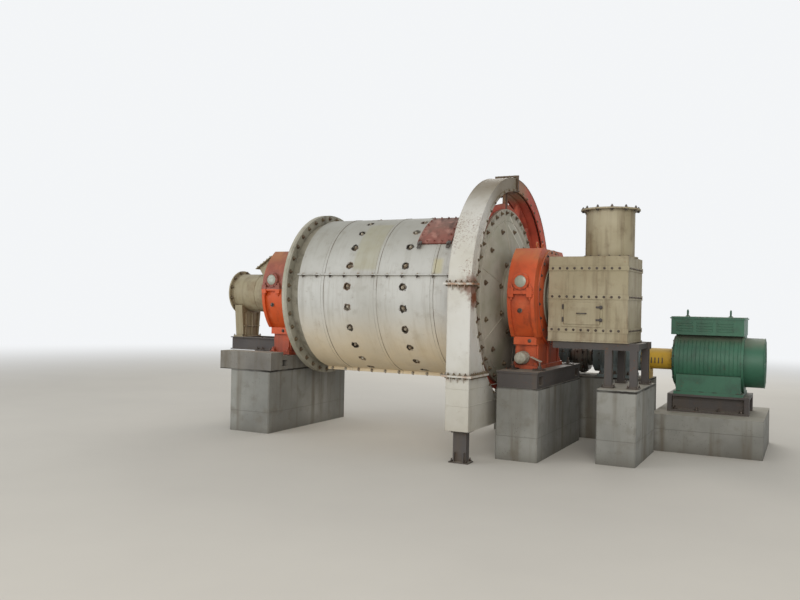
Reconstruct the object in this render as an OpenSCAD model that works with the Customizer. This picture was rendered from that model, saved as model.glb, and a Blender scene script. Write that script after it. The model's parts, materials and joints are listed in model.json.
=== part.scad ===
// Ball mill: a horizontal drum on two trunnion bearings, turned by a girth gear
// and a pinion, with its feed spout, discharge hood, gear guard, drive and plinths.
// Millimetres. +X runs along the drum's axis towards the gear, +Y is the drive side
// and +Z is up. The origin is on the floor under the feed plinth.

/* [Levels] */
// Height of the drum's axis over the floor
axis_h = 2040; // [2000:10:2090]
// Height of the drum's axis over the block or box that a bearing stands on
bearing_h = 933; // [920:1:950]
// Height of that sole block or base box over its plinth
sole_h = 207; // [180:1:230]

/* [Drum] */
// Outside diameter of the bare drum shell
shell_d = 2140; // [2100:5:2160]
// Thickness of the shell plate
shell_t = 25; // [16:1:32]
// Length of the drum over the outer faces of its end flanges
drum_len = 2922; // [2870:2:2990]
// Distance from the origin to the feed end's flange face
feed_face_x = 678; // [660:2:700]
// Outside diameter of the bolted end flanges
flange_d = 2400; // [2360:5:2410]
// Thickness of each flange, one on the shell and one on the head
flange_t = 40; // [30:1:44]
// Thickness of a head plate
head_t = 50; // [36:1:60]
// How far the head cones out over its flange face at the trunnion
head_rise = 90; // [60:1:110]
// Width of the ring that centres a head in the shell
spigot_w = 45; // [30:1:60]

/* [Trunnions] */
// Distance from the feed end's flange face to the middle of its bearing
feed_reach = 478; // [460:1:490]
// Distance from the discharge end's flange face to the middle of its bearing
discharge_reach = 448; // [435:1:460]
// Width of a bearing along the axis
bearing_w = 354; // [330:2:370]
// Diameter of the trunnion journals
journal_d = 760; // [700:5:780]
// Diameter of the passage through the trunnions
passage_d = 540; // [500:5:560]
// Diameter of the thrust collars beside the journals
collar_d = 850; // [830:2:880]
// Width of a thrust collar
collar_w = 30; // [20:1:36]
// Diameter of the trunnion nose outside the bearing
nose_d = 660; // [620:5:680]
// Length of the nose outside the feed bearing's collar
feed_nose = 45; // [30:1:50]
// Length of the nose outside the discharge bearing's collar
discharge_nose = 110; // [90:1:120]

/* [Lagging] */
// Thickness of the jacket of sheet and wool round the shell
lag_t = 40; // [30:1:45]
// Distance from the feed flange face to the jacket
lag_start = 209; // [150:1:230]
// Gap between the jacket and the girth gear's rim
lag_end_gap = 70; // [40:2:100]
// How far the bolted seam flanges stand out of the jacket
seam_h = 45; // [30:1:50]
// Thickness of each seam flange
seam_t = 8; // [5:1:10]
// Width of the lap strips round the jacket
lap_w = 46; // [30:1:60]
// Thickness of the lap strips
lap_t = 4; // [2:1:6]
// Distance from the feed flange face to the first lap strip
lap_start = 611; // [560:1:640]
// Spacing of the lap strips
lap_step = 835; // [800:1:850]
// Diameter of the cut-outs over the liner bolts
bolt_hole_d = 90; // [60:2:100]
// Number of liner bolts in one ring
bolt_count = 24; // [24:12:36]
// Distance from the feed flange face to the first ring of liner bolts
bolt_start = 1010; // [990:1:1040]
// Spacing of the two rings of liner bolts
bolt_step = 852; // [830:1:870]

/* [Manhole] */
// Distance from the feed flange face to the manhole cover
cover_start = 1963; // [1950:1:1985]
// Length of the cover along the drum
cover_len = 488; // [440:1:500]
// Angle that the cover spans round the drum
cover_span = 33; // [26:1:35]
// How far the cover stands out of the jacket
cover_rise = 26; // [15:1:35]
// Width of the cover's rim outside the hole in the shell
cover_rim = 70; // [50:1:90]

/* [Girth gear] */
// Module of the gear teeth
gear_m = 24; // [24:1:24]
// Number of teeth on the girth gear
gear_teeth = 128; // [128:8:128]
// Width of the toothed rim
gear_w = 220; // [190:2:224]
// Thickness of the rim under the teeth
rim_t = 78; // [60:1:84]
// Thickness of the web that is clamped between the shell's flange and the head
web_t = 40; // [28:1:44]
// Distance from the rim's face on the jacket side to the web
web_offset = 70; // [50:1:90]
// Number of openings in the web
web_holes = 16; // [12:4:20]
// Width of a spoke between two openings
spoke_w = 110; // [80:2:140]
// Width of the web's ring outside the drum's flange
web_ring = 70; // [50:1:90]
// Play between two meshing teeth
backlash = 1.8; // [1.6:0.1:4]

/* [Pinion] */
// Number of teeth on the pinion
pinion_teeth = 21; // [19:1:22]
// Width of the pinion
pinion_w = 230; // [220:2:232]
// Teeth of the girth gear between the top of the drum and the pinion
mesh_teeth = 42; // [41:1:43]
// Diameter of the pinion shaft
shaft_d = 180; // [150:5:200]
// Width of a pinion bearing
pinion_bearing_w = 230; // [200:5:250]
// Outside diameter of a pinion bearing's housing
pinion_bearing_d = 380; // [340:5:400]
// Distance from the middle of the pinion to each of its bearings
pinion_bearing_reach = 410; // [395:5:430]

/* [Gear guard] */
// Gap between the tips of the gear's teeth and the guard's plate
guard_clear = 48; // [40:1:60]
// Width of the guard along the axis
guard_w = 293; // [280:1:300]
// Width that the guard's sides leave round their opening
guard_band = 179; // [165:1:190]
// Thickness of the guard's plate
guard_t = 10; // [5:1:12]
// Gap between the teeth and the bottom of the sump
sump_clear = 74; // [50:2:90]
// Height of the upper split over the axis
upper_split = 130; // [100:2:150]
// Depth of the lower split under the axis
lower_split = 984; // [975:1:1000]
// How far the guard's bolting flanges stand out
guard_lip = 48; // [30:1:55]
// How far the pinion cover stands out of the guard
pinion_cover_out = 300; // [280:5:330]

/* [Bearings] */
// Radius of the round bearing housing
housing_r = 785; // [770:1:800]
// Height of the flat top of the cap over the axis
cap_h = 630; // [600:2:660]
// Height of the joint between housing and cap over the axis
cap_split = 50; // [20:1:70]
// Depth of the barrel between the two rims of the housing
rim_h = 35; // [20:1:45]
// Width of each rim
rim_w = 45; // [30:1:55]
// Width of the housing's base flange across the mill
foot_w = 1120; // [1060:10:1180]
// Distance from the axis down to the step under the round housing
waist_drop = 520; // [500:5:545]
// Diameter of the inspection port on the cap
port_d = 165; // [140:2:190]
// Height of the port's centre over the axis
port_up = 190; // [180:2:210]

/* [Plinths] */
// Width of the feed plinth along the mill
feed_plinth_w = 696; // [680:2:720]
// Width of the discharge plinth along the mill
discharge_plinth_w = 540; // [520:2:560]
// Depth of the bearing plinths across the mill
plinth_depth = 2130; // [2100:10:2200]
// Chamfer on the concrete edges
concrete_edge = 15; // [5:1:25]
// Height of the kerbs at the ends of the feed sole block
kerb_h = 58; // [40:1:70]
// Width of each kerb across the mill
kerb_w = 300; // [280:5:320]
// Distance from the middle of the feed bearing to its plinth's outer face
feed_plinth_out = 506; // [496:1:514]
// Distance from the middle of the discharge bearing to its plinth's inner face
discharge_plinth_in = 214; // [206:1:222]
// How far the discharge plinth stays short of the feed plinth at each end
discharge_plinth_short = 48; // [40:1:56]

/* [Drive] */
// Length of the motor's body
motor_len = 1010; // [960:5:1060]
// Width of the motor's body
motor_w = 860; // [820:5:900]
// Length of the reducer's housing
reducer_len = 680; // [640:5:720]
// Height of the motor shaft over its frame
motor_shaft_h = 452; // [440:1:470]
// Height of the motor's frame
motor_frame_h = 245; // [220:5:260]
// Height of the cooler's top over the motor shaft
cooler_h = 620; // [580:5:640]
// Gap between reducer and motor, which the coupling guard spans
motor_gap = 435; // [420:5:450]
// Height of the pinion shaft over the drive plinth
pinion_foot_h = 290; // [290:5:310]
// Depth of the drive plinth across the mill
drive_plinth_depth = 680; // [670:5:700]

/* [Feed end] */
// Outside diameter of the feed spout
spout_d = 596; // [570:2:600]
// Wall of the feed spout
spout_t = 12; // [6:1:14]
// Length of the feed spout
spout_len = 864; // [840:2:900]
// Inside width of the feed chute
chute_in = 260; // [240:5:280]
// Slope of the feed chute over the floor
chute_angle = 56; // [52:1:60]
// How far the chute reaches out past the spout's wall
chute_out = 290; // [270:5:310]
// Number of bolt holes in the feed flange and in the duct's flange
flange_holes = 12; // [12:4:16]
// Diameter of those holes
flange_hole_d = 22; // [18:1:24]
// Outside diameter of the feed flange
feed_flange_d = 700; // [694:2:712]
// Diameter of the circle that its holes lie on
flange_pcd = 650; // [646:1:656]
// Height of the steel frame under the spout's pedestal
frame_h = 228; // [210:2:240]

/* [Discharge end] */
// Length of the discharge hood along the mill
hood_len = 1000; // [980:5:1030]
// Width of the discharge hood
hood_w = 900; // [860:10:940]
// Outside diameter of the exhaust duct on the hood
duct_d = 620; // [580:5:640]
// Height of the exhaust duct's flange over the axis
duct_top = 1150; // [1100:5:1200]
// Depth of the hood's bottom under the axis
hood_drop = 560; // [550:5:580]
// Height of the hood's top over the axis
hood_rise = 520; // [500:5:540]
// Height of the stand that carries the hood
hood_stand_h = 560; // [540:5:580]
// Width of the hood's plinth along the mill
hood_plinth_w = 478; // [470:2:490]
// How far the hood's plinth stands out past the hood
hood_plinth_out = 161; // [155:1:170]
// Depth of the hood's plinth across the mill
hood_plinth_depth = 1300; // [1280:10:1340]

/* [Hidden] */
$fn = 72;

// Running gap of a shaft in its seat, and gap between curved pieces that stand still
run_gap = 0.3;
seat_gap = 0.3;
// Gap between a thrust collar and the face of its bearing
thrust_gap = 2;
// Overlap that makes a cut pass right through
cut = 5;

shell_r = shell_d / 2;
flange_r = flange_d / 2;
journal_r = journal_d / 2;
passage_r = passage_d / 2;
discharge_face_x = feed_face_x + drum_len;
feed_bearing_x = feed_face_x - feed_reach;
discharge_bearing_x = discharge_face_x + discharge_reach;
sole_top = axis_h - bearing_h;
plinth_h = sole_top - sole_h;

// Jacket
lag_r0 = shell_r + seat_gap;
lag_r = shell_r + lag_t;
web_x0 = discharge_face_x - flange_t - web_t;
gear_x0 = web_x0 - web_offset;
lag_x0 = feed_face_x + lag_start;
lag_x1 = gear_x0 - lag_end_gap;
first_seam = 77;
seam_gap = 0.6;
bolt_phase = 5;

// Manhole cover
cover_x0 = feed_face_x + cover_start;
cover_mid = 180 - 37 - cover_span / 2;
cover_gap = 3;
hole_span = cover_span - 2 * cover_rim / shell_r * 180 / PI;

// Girth gear and pinion
pressure_angle = 20;
gear_pitch_r = gear_m * gear_teeth / 2;
pinion_pitch_r = gear_m * pinion_teeth / 2;
gear_root_r = gear_pitch_r - 1.25 * gear_m;
gear_rim_r = gear_root_r - rim_t;
gear_tip_r = gear_pitch_r + gear_m;
centre_distance = gear_pitch_r + pinion_pitch_r;
mesh_angle = 90 - mesh_teeth * 360 / gear_teeth;
pinion_y = centre_distance * cos(mesh_angle);
pinion_z = axis_h + centre_distance * sin(mesh_angle);
gear_mid_x = gear_x0 + gear_w / 2;

// Gear guard
guard_x0 = gear_mid_x - guard_w / 2;
guard_x1 = guard_x0 + guard_w;
guard_r = gear_tip_r + guard_clear + guard_t;
guard_hole_r = guard_r - guard_band;
guard_foot_h = axis_h - gear_tip_r - sump_clear - guard_t;
// Sides that the guard's large circles are drawn with
guard_fn = 144;

// Drive, one piece after another along the pinion's axis
coupling_x0 = gear_mid_x + pinion_bearing_reach + pinion_bearing_w / 2 + 50;
coupling_len = 290;
reducer_x0 = coupling_x0 + coupling_len + 40;
reducer_x1 = reducer_x0 + reducer_len;
reducer_shaft_r = 80;
motor_x0 = reducer_x1 + motor_gap;
frame_top = pinion_z - motor_shaft_h;

// Discharge hood
hood_t = 10;
hood_x0 = discharge_bearing_x + bearing_w / 2 + thrust_gap + collar_w + 60;
hood_x1 = hood_x0 + hood_len;
hood_z0 = axis_h - hood_drop;
hood_z1 = axis_h + hood_rise;
duct_x = hood_x1 - 330;

// Plinths
feed_plinth_x0 = feed_bearing_x - feed_plinth_out;
discharge_plinth_x0 = discharge_bearing_x - discharge_plinth_in;
discharge_plinth_half = plinth_depth / 2 - discharge_plinth_short;
hood_plinth_h = hood_z0 - hood_stand_h;
hood_plinth_x1 = hood_x1 + hood_plinth_out;
hood_plinth_x0 = hood_plinth_x1 - hood_plinth_w;
drive_plinth_h = pinion_z - pinion_foot_h;
outer_drive_x0 = guard_x1 + 90;
outer_drive_x1 = reducer_x1 + 145;
motor_plinth_x0 = motor_x0 - 174;
motor_plinth_x1 = motor_x0 + motor_len + 220;
motor_plinth_half = motor_w / 2 + 407;
motor_plinth_h = frame_top - motor_frame_h;

// Maps a profile in Y and Z, drawn about the drum's axis, and its extrusion to +X
module along_x(x, y = 0, z = axis_h) {
    translate([x, y, z]) rotate([90, 0, 90]) children();
}

// Round bar or tube along X, centred on the given line
module tube_x(x0, x1, r, bore = 0, y = 0, z = axis_h) {
    along_x(x0, y, z) difference() {
        cylinder(h = x1 - x0, r = r);
        if (bore > 0) translate([0, 0, -cut]) cylinder(h = x1 - x0 + 2 * cut, r = bore);
    }
}

// Block between two corners
module block(p, q) {
    translate(p) cube(q - p);
}

// Block of cast concrete with chamfered upright and top edges
module concrete_block(p, q) {
    size = q - p;
    difference() {
        block(p, q);
        for (sx = [0, 1], sy = [0, 1])
            translate([p[0] + sx * size[0], p[1] + sy * size[1], p[2] - cut])
                rotate(45)
                    translate([-concrete_edge / sqrt(2), -concrete_edge / sqrt(2), 0])
                        cube([concrete_edge * sqrt(2), concrete_edge * sqrt(2), size[2] + 2 * cut]);
    }
}

// Half-angle of a tooth at radius r, from the involute of its base circle
function inv(a) = tan(a) - a * PI / 180;
function tooth_half(r, pitch_r, teeth) =
    let(base_r = pitch_r * cos(pressure_angle), a = acos(min(1, base_r / r)))
    90 / teeth - backlash / 4 / pitch_r * 180 / PI
        + (inv(pressure_angle) - inv(a)) * 180 / PI;

// Outline of a gear, with the middle of a gap at angle 0
module gear_outline(teeth) {
    pitch_r = gear_m * teeth / 2;
    root_r = pitch_r - 1.25 * gear_m;
    tip_r = pitch_r + gear_m;
    step = 360 / teeth;
    low_r = max(root_r, pitch_r * cos(pressure_angle));
    radii = [low_r, (low_r + pitch_r) / 2, pitch_r, (pitch_r + tip_r) / 2, tip_r];
    polygon([
        for (i = [0 : teeth - 1])
            let(mid = (i + 0.5) * step)
                each concat(
                    [polar(root_r, mid - tooth_half(low_r, pitch_r, teeth))],
                    [for (r = radii) polar(r, mid - tooth_half(r, pitch_r, teeth))],
                    [for (j = [4 : -1 : 0])
                        polar(radii[j], mid + tooth_half(radii[j], pitch_r, teeth))],
                    [polar(root_r, mid + tooth_half(low_r, pitch_r, teeth))]
                )
    ]);
}
function polar(r, a) = [r * cos(a), r * sin(a)];

// Drum

// Shell with a flange at each end and the manhole cut through it
module drum_shell() {
    x0 = feed_face_x + flange_t;
    x1 = web_x0;
    color("#8d8a80") difference() {
        union() {
            tube_x(x0, x1, shell_r, shell_r - shell_t);
            tube_x(x0, x0 + flange_t, flange_r, shell_r - shell_t);
            tube_x(x1 - flange_t, x1, flange_r, shell_r - shell_t);
        }
        drum_sector(cover_x0 + cover_rim, cover_x0 + cover_len - cover_rim,
            shell_r - shell_t - cut, shell_r + cut, cover_mid, hole_span);
    }
}

// Part of a ring about the drum's axis, centred on an angle
module drum_sector(x0, x1, r0, r1, mid, span) {
    along_x(x0) rotate(mid - span / 2)
        rotate_extrude(angle = span) translate([r0, 0]) square([r1 - r0, x1 - x0]);
}

// Head and trunnion in one casting, as a profile of radius and distance outwards
module head_profile(reach, spigot_len, nose) {
    spigot_r = shell_r - shell_t - seat_gap;
    cone_r = spigot_r - 5;
    root_r = journal_r + 60;
    near = reach - bearing_w / 2 - thrust_gap;
    far = reach + bearing_w / 2 + thrust_gap;
    rotate_extrude() polygon([
        [passage_r, head_rise - head_t],
        [spigot_r - spigot_w, -head_t],
        [spigot_r - spigot_w, -spigot_len],
        [spigot_r, -spigot_len],
        [spigot_r, -flange_t],
        [flange_r, -flange_t],
        [flange_r, 0],
        [cone_r, 0],
        [root_r + 50, head_rise - 8],
        [root_r + 14, head_rise + 14],
        [root_r, head_rise + 50],
        [collar_d / 2 - 10, near - collar_w - 24],
        [collar_d / 2, near - collar_w],
        [collar_d / 2, near],
        [journal_r, near],
        [journal_r, far],
        [collar_d / 2, far],
        [collar_d / 2, far + collar_w],
        [nose_d / 2, far + collar_w],
        [nose_d / 2, far + collar_w + nose],
        [passage_r, far + collar_w + nose]
    ]);
}

module feed_head() {
    color("#a9a496") translate([feed_face_x, 0, axis_h]) rotate([0, -90, 0])
        head_profile(feed_reach, 2 * flange_t, feed_nose);
}

// The discharge head's centring ring also reaches through the web of the girth gear
module discharge_head() {
    color("#a9a496") translate([discharge_face_x, 0, axis_h]) rotate([0, 90, 0])
        head_profile(discharge_reach, 2 * flange_t + web_t, discharge_nose);
}

// Quarter of the jacket, from one bolted seam to the next
module lagging_quarter(seam) {
    color("#d8d0bc") difference() {
        union() {
            jacket_arc(lag_x0, lag_x1, lag_r0, lag_r, seam);
            for (i = [0 : 2]) {
                x = feed_face_x + lap_start + i * lap_step;
                jacket_arc(x - lap_w / 2, x + lap_w / 2, lag_r - 1, lag_r + lap_t, seam);
            }
            seam_plate(seam, 0, seam_t);
            seam_plate(seam + 90, -seam_t, 0);
        }
        seam_slit(seam);
        seam_slit(seam + 90);
        for (ring = [0, 1], i = [0 : bolt_count - 1])
            along_x(feed_face_x + bolt_start + ring * bolt_step)
                rotate(180 - bolt_phase + i * 360 / bolt_count) translate([shell_r / 2, 0, 0])
                    rotate([0, 90, 0]) cylinder(h = shell_r, d = bolt_hole_d);
        drum_sector(cover_x0 - cover_gap, cover_x0 + cover_len + cover_gap, shell_r - cut,
            lag_r + 2 * lap_t, cover_mid, cover_span + 0.4);
    }
}

// Quarter turn of a ring, from the given seam on
module jacket_arc(x0, x1, r0, r1, seam) {
    along_x(x0) rotate(seam) rotate_extrude(angle = 90)
        translate([r0, 0]) square([r1 - r0, x1 - x0]);
}

// Bolting flange that stands out of the jacket along a seam
module seam_plate(seam, y0, y1) {
    along_x(lag_x0) rotate(seam) translate([lag_r - 8, y0, 0])
        cube([seam_h + 8, y1 - y0, lag_x1 - lag_x0]);
}

// Gap between the two flanges of a seam
module seam_slit(seam) {
    along_x(lag_x0 - cut) rotate(seam) translate([shell_r / 2, -seam_gap / 2, 0])
        cube([shell_r, seam_gap, lag_x1 - lag_x0 + 2 * cut]);
}

module lagging_upper_front() { lagging_quarter(first_seam); }
module lagging_lower_front() { lagging_quarter(first_seam + 90); }
module lagging_lower_back() { lagging_quarter(first_seam + 180); }
module lagging_upper_back() { lagging_quarter(first_seam + 270); }

// Curved manhole cover with the plug that fills the hole in the shell
module manhole_cover() {
    plug_gap = 4;
    color("#8e4436") union() {
        drum_sector(cover_x0, cover_x0 + cover_len, lag_r0, lag_r + cover_rise,
            cover_mid, cover_span);
        drum_sector(cover_x0 + cover_rim + plug_gap, cover_x0 + cover_len - cover_rim - plug_gap,
            shell_r - shell_t, lag_r0 + 1, cover_mid, hole_span - 0.4);
    }
}

// Girth gear: toothed rim on a web with openings, in two halves
module girth_gear_body() {
    hub_r = shell_r - shell_t;
    ring_r = flange_r + web_ring;
    along_x(gear_x0) difference() {
        union() {
            difference() {
                linear_extrude(gear_w) rotate(90) gear_outline(gear_teeth);
                translate([0, 0, -cut]) cylinder(h = gear_w + 2 * cut, r = gear_rim_r);
            }
            translate([0, 0, web_offset]) difference() {
                cylinder(h = web_t, r = gear_rim_r + 1);
                translate([0, 0, -cut]) cylinder(h = web_t + 2 * cut, r = hub_r);
            }
        }
        for (i = [0 : web_holes - 1]) rotate((i + 0.5) * 360 / web_holes)
            web_opening(ring_r, gear_rim_r - 8);
    }
}

// Opening between two spokes, with straight spoke edges
module web_opening(r0, r1) {
    half = 180 / web_holes;
    inset = spoke_w / 2;
    translate([0, 0, web_offset - cut]) linear_extrude(web_t + 2 * cut) difference() {
        polygon([
            polar(r0 / cos(half), -half) + [0, inset],
            polar(r1, -half) + [0, inset],
            [r1, 0],
            polar(r1, half) - [0, inset],
            polar(r0 / cos(half), half) - [0, inset]
        ]);
        circle(r = r0);
    }
}

module girth_gear_front() {
    r = gear_pitch_r + 2 * gear_m;
    color("#b5442c") intersection() {
        girth_gear_body();
        block([gear_x0 - cut, -r, axis_h - r], [gear_x0 + gear_w + cut, 0, axis_h + r]);
    }
}

module girth_gear_back() {
    r = gear_pitch_r + 2 * gear_m;
    color("#b5442c") intersection() {
        girth_gear_body();
        block([gear_x0 - cut, 0, axis_h - r], [gear_x0 + gear_w + cut, r, axis_h + r]);
    }
}

// Gear guard

// Tombstone outline of the guard, inset by the given distance
module guard_outline(inset) {
    r = guard_r - inset;
    bottom = guard_foot_h - axis_h + inset;
    circle(r = r, $fn = guard_fn);
    translate([-r, bottom]) square([2 * r, -bottom]);
}

// Hollow guard before it is cut into pieces, with a raised rim round both openings
module guard_shell() {
    ring_out = 6;
    ring_w = 36;
    difference() {
        along_x(guard_x0) difference() {
            union() {
                linear_extrude(guard_w) guard_outline(0);
                translate([0, 0, -ring_out])
                    cylinder(h = guard_w + 2 * ring_out, r = guard_hole_r + ring_w, $fn = guard_fn);
            }
            translate([0, 0, guard_t]) linear_extrude(guard_w - 2 * guard_t)
                guard_outline(guard_t);
            translate([0, 0, -ring_out - cut])
                cylinder(h = guard_w + 2 * (ring_out + cut), r = guard_hole_r, $fn = guard_fn);
        }
        pinion_window();
        pinion_shaft_hole();
    }
}

cover_z0 = pinion_z - pinion_pitch_r - gear_m - 60;
cover_z1 = pinion_z + pinion_pitch_r + gear_m + 60;
cover_y1 = guard_r + pinion_cover_out;
shaft_hole_r = shaft_d / 2 + 35;

// Window in the guard's back plate that the pinion reaches through
module pinion_window() {
    block([guard_x0 + guard_t, guard_r - 2 * guard_t, cover_z0 + guard_t],
        [guard_x1 - guard_t, guard_r + cut, cover_z1 - guard_t]);
}

module pinion_shaft_hole() {
    tube_x(guard_x0 - cut, guard_x1 + cut, shaft_hole_r, y = pinion_y, z = pinion_z);
}

// Level flange round the guard at one height, on the front or the back
module split_flange(z, side) {
    inner = sqrt(guard_hole_r * guard_hole_r - (z - axis_h) * (z - axis_h));
    lip_y = guard_r + guard_lip;
    difference() {
        block_signed([guard_x0 - guard_lip, inner + lip_plate, z],
            [guard_x1 + guard_lip, lip_y, z + lip_plate], side);
        block_signed([guard_x0 + guard_t / 2, inner, z - cut],
            [guard_x1 - guard_t / 2, guard_r - guard_t / 2, z + lip_plate + cut], side);
    }
}

// Block whose Y range is mirrored to the front where side is -1
module block_signed(p, q, side) {
    if (side > 0) block(p, q);
    else block([p[0], -q[1], p[2]], [q[0], -p[1], q[2]]);
}

lip_plate = 12;
upper_z = axis_h + upper_split;
lower_z = axis_h - lower_split;

// Keeps the stretch of the guard between two heights on one side
module guard_piece(z0, z1, side) {
    intersection() {
        guard_shell();
        block_signed([guard_x0 - guard_lip, 0, z0], [guard_x1 + guard_lip, guard_r + cut, z1], side);
    }
}

// Upright flange at the crown, where the two arches meet
module crown_flange(side) {
    difference() {
        block_signed([guard_x0 - guard_lip / 2, 0, axis_h + guard_hole_r + lip_plate],
            [guard_x1 + guard_lip / 2, lip_plate, axis_h + guard_r + guard_lip], side);
        block_signed([guard_x0 + guard_t / 2, -cut, axis_h + guard_hole_r],
            [guard_x1 - guard_t / 2, lip_plate + cut, axis_h + guard_r - guard_t / 2], side);
    }
}

module guard_arch(side) {
    guard_piece(upper_z, axis_h + guard_r + cut, side);
    split_flange(upper_z, side);
    crown_flange(side);
}

module guard_arch_front() { color("#d9d1b8") union() guard_arch(-1); }
module guard_arch_back() { color("#b5442c") union() guard_arch(1); }

module guard_side_front() {
    color("#e4dfd0") union() {
        guard_piece(lower_z, upper_z, -1);
        translate([0, 0, -lip_plate]) split_flange(upper_z, -1);
        split_flange(lower_z, -1);
    }
}

module guard_side_back() {
    color("#d6cfba") difference() {
        union() {
            guard_piece(lower_z, upper_z, 1);
            translate([0, 0, -lip_plate]) split_flange(upper_z, 1);
            split_flange(lower_z, 1);
        }
        pinion_cover_seat();
    }
}

// Room that the pinion cover takes outside the guard's back plate
module pinion_cover_seat() {
    block([guard_x0 - 2 * guard_lip, guard_r, cover_z0],
        [guard_x1 + 2 * guard_lip, cover_y1, cover_z1]);
    pinion_shaft_hole();
    pinion_window();
}

module guard_sump() {
    color("#ded8c6") difference() {
        union() {
            guard_piece(guard_foot_h - cut, lower_z, -1);
            guard_piece(guard_foot_h - cut, lower_z, 1);
            for (side = [-1, 1]) translate([0, 0, -lip_plate])
                split_flange(lower_z, side);
        }
        pinion_cover_seat();
    }
}

// Box bolted to the guard's back, round the outer side of the pinion
module pinion_cover() {
    color("#cfc8b2") difference() {
        block([guard_x0, guard_r, cover_z0], [guard_x1, cover_y1, cover_z1]);
        block([guard_x0 + guard_t, guard_r - cut, cover_z0 + guard_t],
            [guard_x1 - guard_t, cover_y1 - guard_t, cover_z1 - guard_t]);
        pinion_shaft_hole();
    }
}

// Two stools under the ends of the sump: box leg between two plates, with gussets
module guard_legs() {
    leg_y = guard_r - 250;
    leg_w = 180;
    plate_t = 16;
    gusset_t = 12;
    color("#5d5b56") for (side = [-1, 1]) {
        block_signed([guard_x0 + 20, leg_y, 0], [guard_x1 - 20, leg_y + leg_w, plate_t], side);
        block_signed([guard_x0 + 20, leg_y, guard_foot_h - plate_t],
            [guard_x1 - 20, leg_y + leg_w, guard_foot_h], side);
        block_signed([guard_x0 + 60, leg_y + 40, plate_t - 1],
            [guard_x1 - 60, leg_y + leg_w - 40, guard_foot_h - plate_t + 1], side);
        for (x = [guard_x0 + 80, guard_x1 - 80 - gusset_t])
            block_signed([x, leg_y + 8, plate_t - 1],
                [x + gusset_t, leg_y + leg_w - 8, guard_foot_h / 3], side);
    }
}

// Bearings

// Lower housing: barrel between two rims, on a stepped foot with a base flange
module bearing_housing(x) {
    x0 = x - bearing_w / 2;
    x1 = x + bearing_w / 2;
    barrel_r = housing_r - rim_h;
    step_h = 100;
    step_z1 = axis_h - waist_drop;
    step_z0 = step_z1 - step_h;
    step_half = sqrt(barrel_r * barrel_r - waist_drop * waist_drop) + 20;
    foot_half = foot_w / 2 - 60;
    foot_flange = 50;
    step_in = 25;
    foot_in = 45;
    rib_t = 40;
    difference() {
        union() {
            intersection() {
                union() {
                    tube_x(x0, x1, barrel_r);
                    tube_x(x0, x0 + rim_w, housing_r);
                    tube_x(x1 - rim_w, x1, housing_r);
                }
                block([x0 - cut, -housing_r, step_z1 - 1], [x1 + cut, housing_r, axis_h + cap_split]);
            }
            block([x0 + step_in, -step_half, step_z0], [x1 - step_in, step_half, step_z1]);
            block([x0 + foot_in, -foot_half, sole_top], [x1 - foot_in, foot_half, step_z0 + 1]);
            block([x0, -foot_w / 2, sole_top], [x1, foot_w / 2, sole_top + foot_flange]);
            for (y = [-foot_half + rib_t / 2, -rib_t / 2, foot_half - 3 * rib_t / 2])
                block([x0 + step_in, y, sole_top], [x1 - step_in, y + rib_t, step_z0 + 1]);
            for (side = [-1, 1]) split_lug(x0, x1, side, -1);
            seal_ring(x0);
        }
        tube_x(x0 - 2 * seal_t, x1 + 2 * seal_t, journal_r + run_gap);
        block([x0 - 2 * seal_t, -housing_r, axis_h + cap_split],
            [x1 + 2 * seal_t, housing_r, axis_h + housing_r]);
    }
}

// Thin flange and two bosses on one side of the joint between housing and cap
module split_lug(x0, x1, side, up) {
    y = sqrt(housing_r * housing_r - cap_split * cap_split);
    split_z = axis_h + cap_split;
    lug_h = 22;
    boss_h = 60;
    boss_w = 70;
    block_signed([x0 + 8, y - 60, min(split_z, split_z + up * lug_h)],
        [x1 - 8, y + 25, max(split_z, split_z + up * lug_h)], side);
    for (x = [x0 + 20, x1 - 20 - boss_w])
        block_signed([x, y - 60, min(split_z, split_z + up * boss_h)],
            [x + boss_w, y + 34, max(split_z, split_z + up * boss_h)], side);
}

// Raised ring round the journal on the two faces, kept clear of the thrust collars
seal_t = 18;
module seal_ring(x0) {
    tube_x(x0 - seal_t, x0 + bearing_w + seal_t, journal_r + 250, collar_d / 2 + 12);
}

// Cap: round rim cut flat at the top, with a pad there and a port on the front
module bearing_cap(x) {
    x0 = x - bearing_w / 2;
    x1 = x + bearing_w / 2;
    pad_x = 110;
    pad_y = 150;
    pad_h = 14;
    difference() {
        union() {
            intersection() {
                tube_x(x0, x1, housing_r);
                block([x0 - cut, -housing_r, axis_h + cap_split], [x1 + cut, housing_r, axis_h + cap_h]);
            }
            block([x - pad_x, -pad_y, axis_h + cap_h - 1], [x + pad_x, pad_y, axis_h + cap_h + pad_h]);
            for (side = [-1, 1]) split_lug(x0, x1, side, 1);
            seal_ring(x0);
            inspection_port(x);
        }
        tube_x(x0 - 2 * seal_t, x1 + 2 * seal_t, journal_r + run_gap);
        block([x0 - 2 * seal_t, -housing_r, 0], [x1 + 2 * seal_t, housing_r, axis_h + cap_split]);
    }
}

// Round port on the front of the cap
module inspection_port(x) {
    out = 14;
    rim = 25;
    deep = 10;
    translate([x, -housing_r - out, axis_h + port_up]) rotate([-90, 0, 0]) difference() {
        cylinder(h = 120, d = port_d + 2 * rim);
        translate([0, 0, -cut]) cylinder(h = cut + deep, d = port_d);
    }
}

module feed_bearing_housing() { color("#c8501e") bearing_housing(feed_bearing_x); }
module feed_bearing_cap() { color("#b0452b") bearing_cap(feed_bearing_x); }
module discharge_bearing_housing() { color("#c8501e") bearing_housing(discharge_bearing_x); }
module discharge_bearing_cap() { color("#c4532a") bearing_cap(discharge_bearing_x); }

// Plinths

module feed_plinth() {
    color("#a39b8c") concrete_block([feed_plinth_x0, -plinth_depth / 2, 0],
        [feed_plinth_x0 + feed_plinth_w, plinth_depth / 2, plinth_h]);
}

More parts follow.
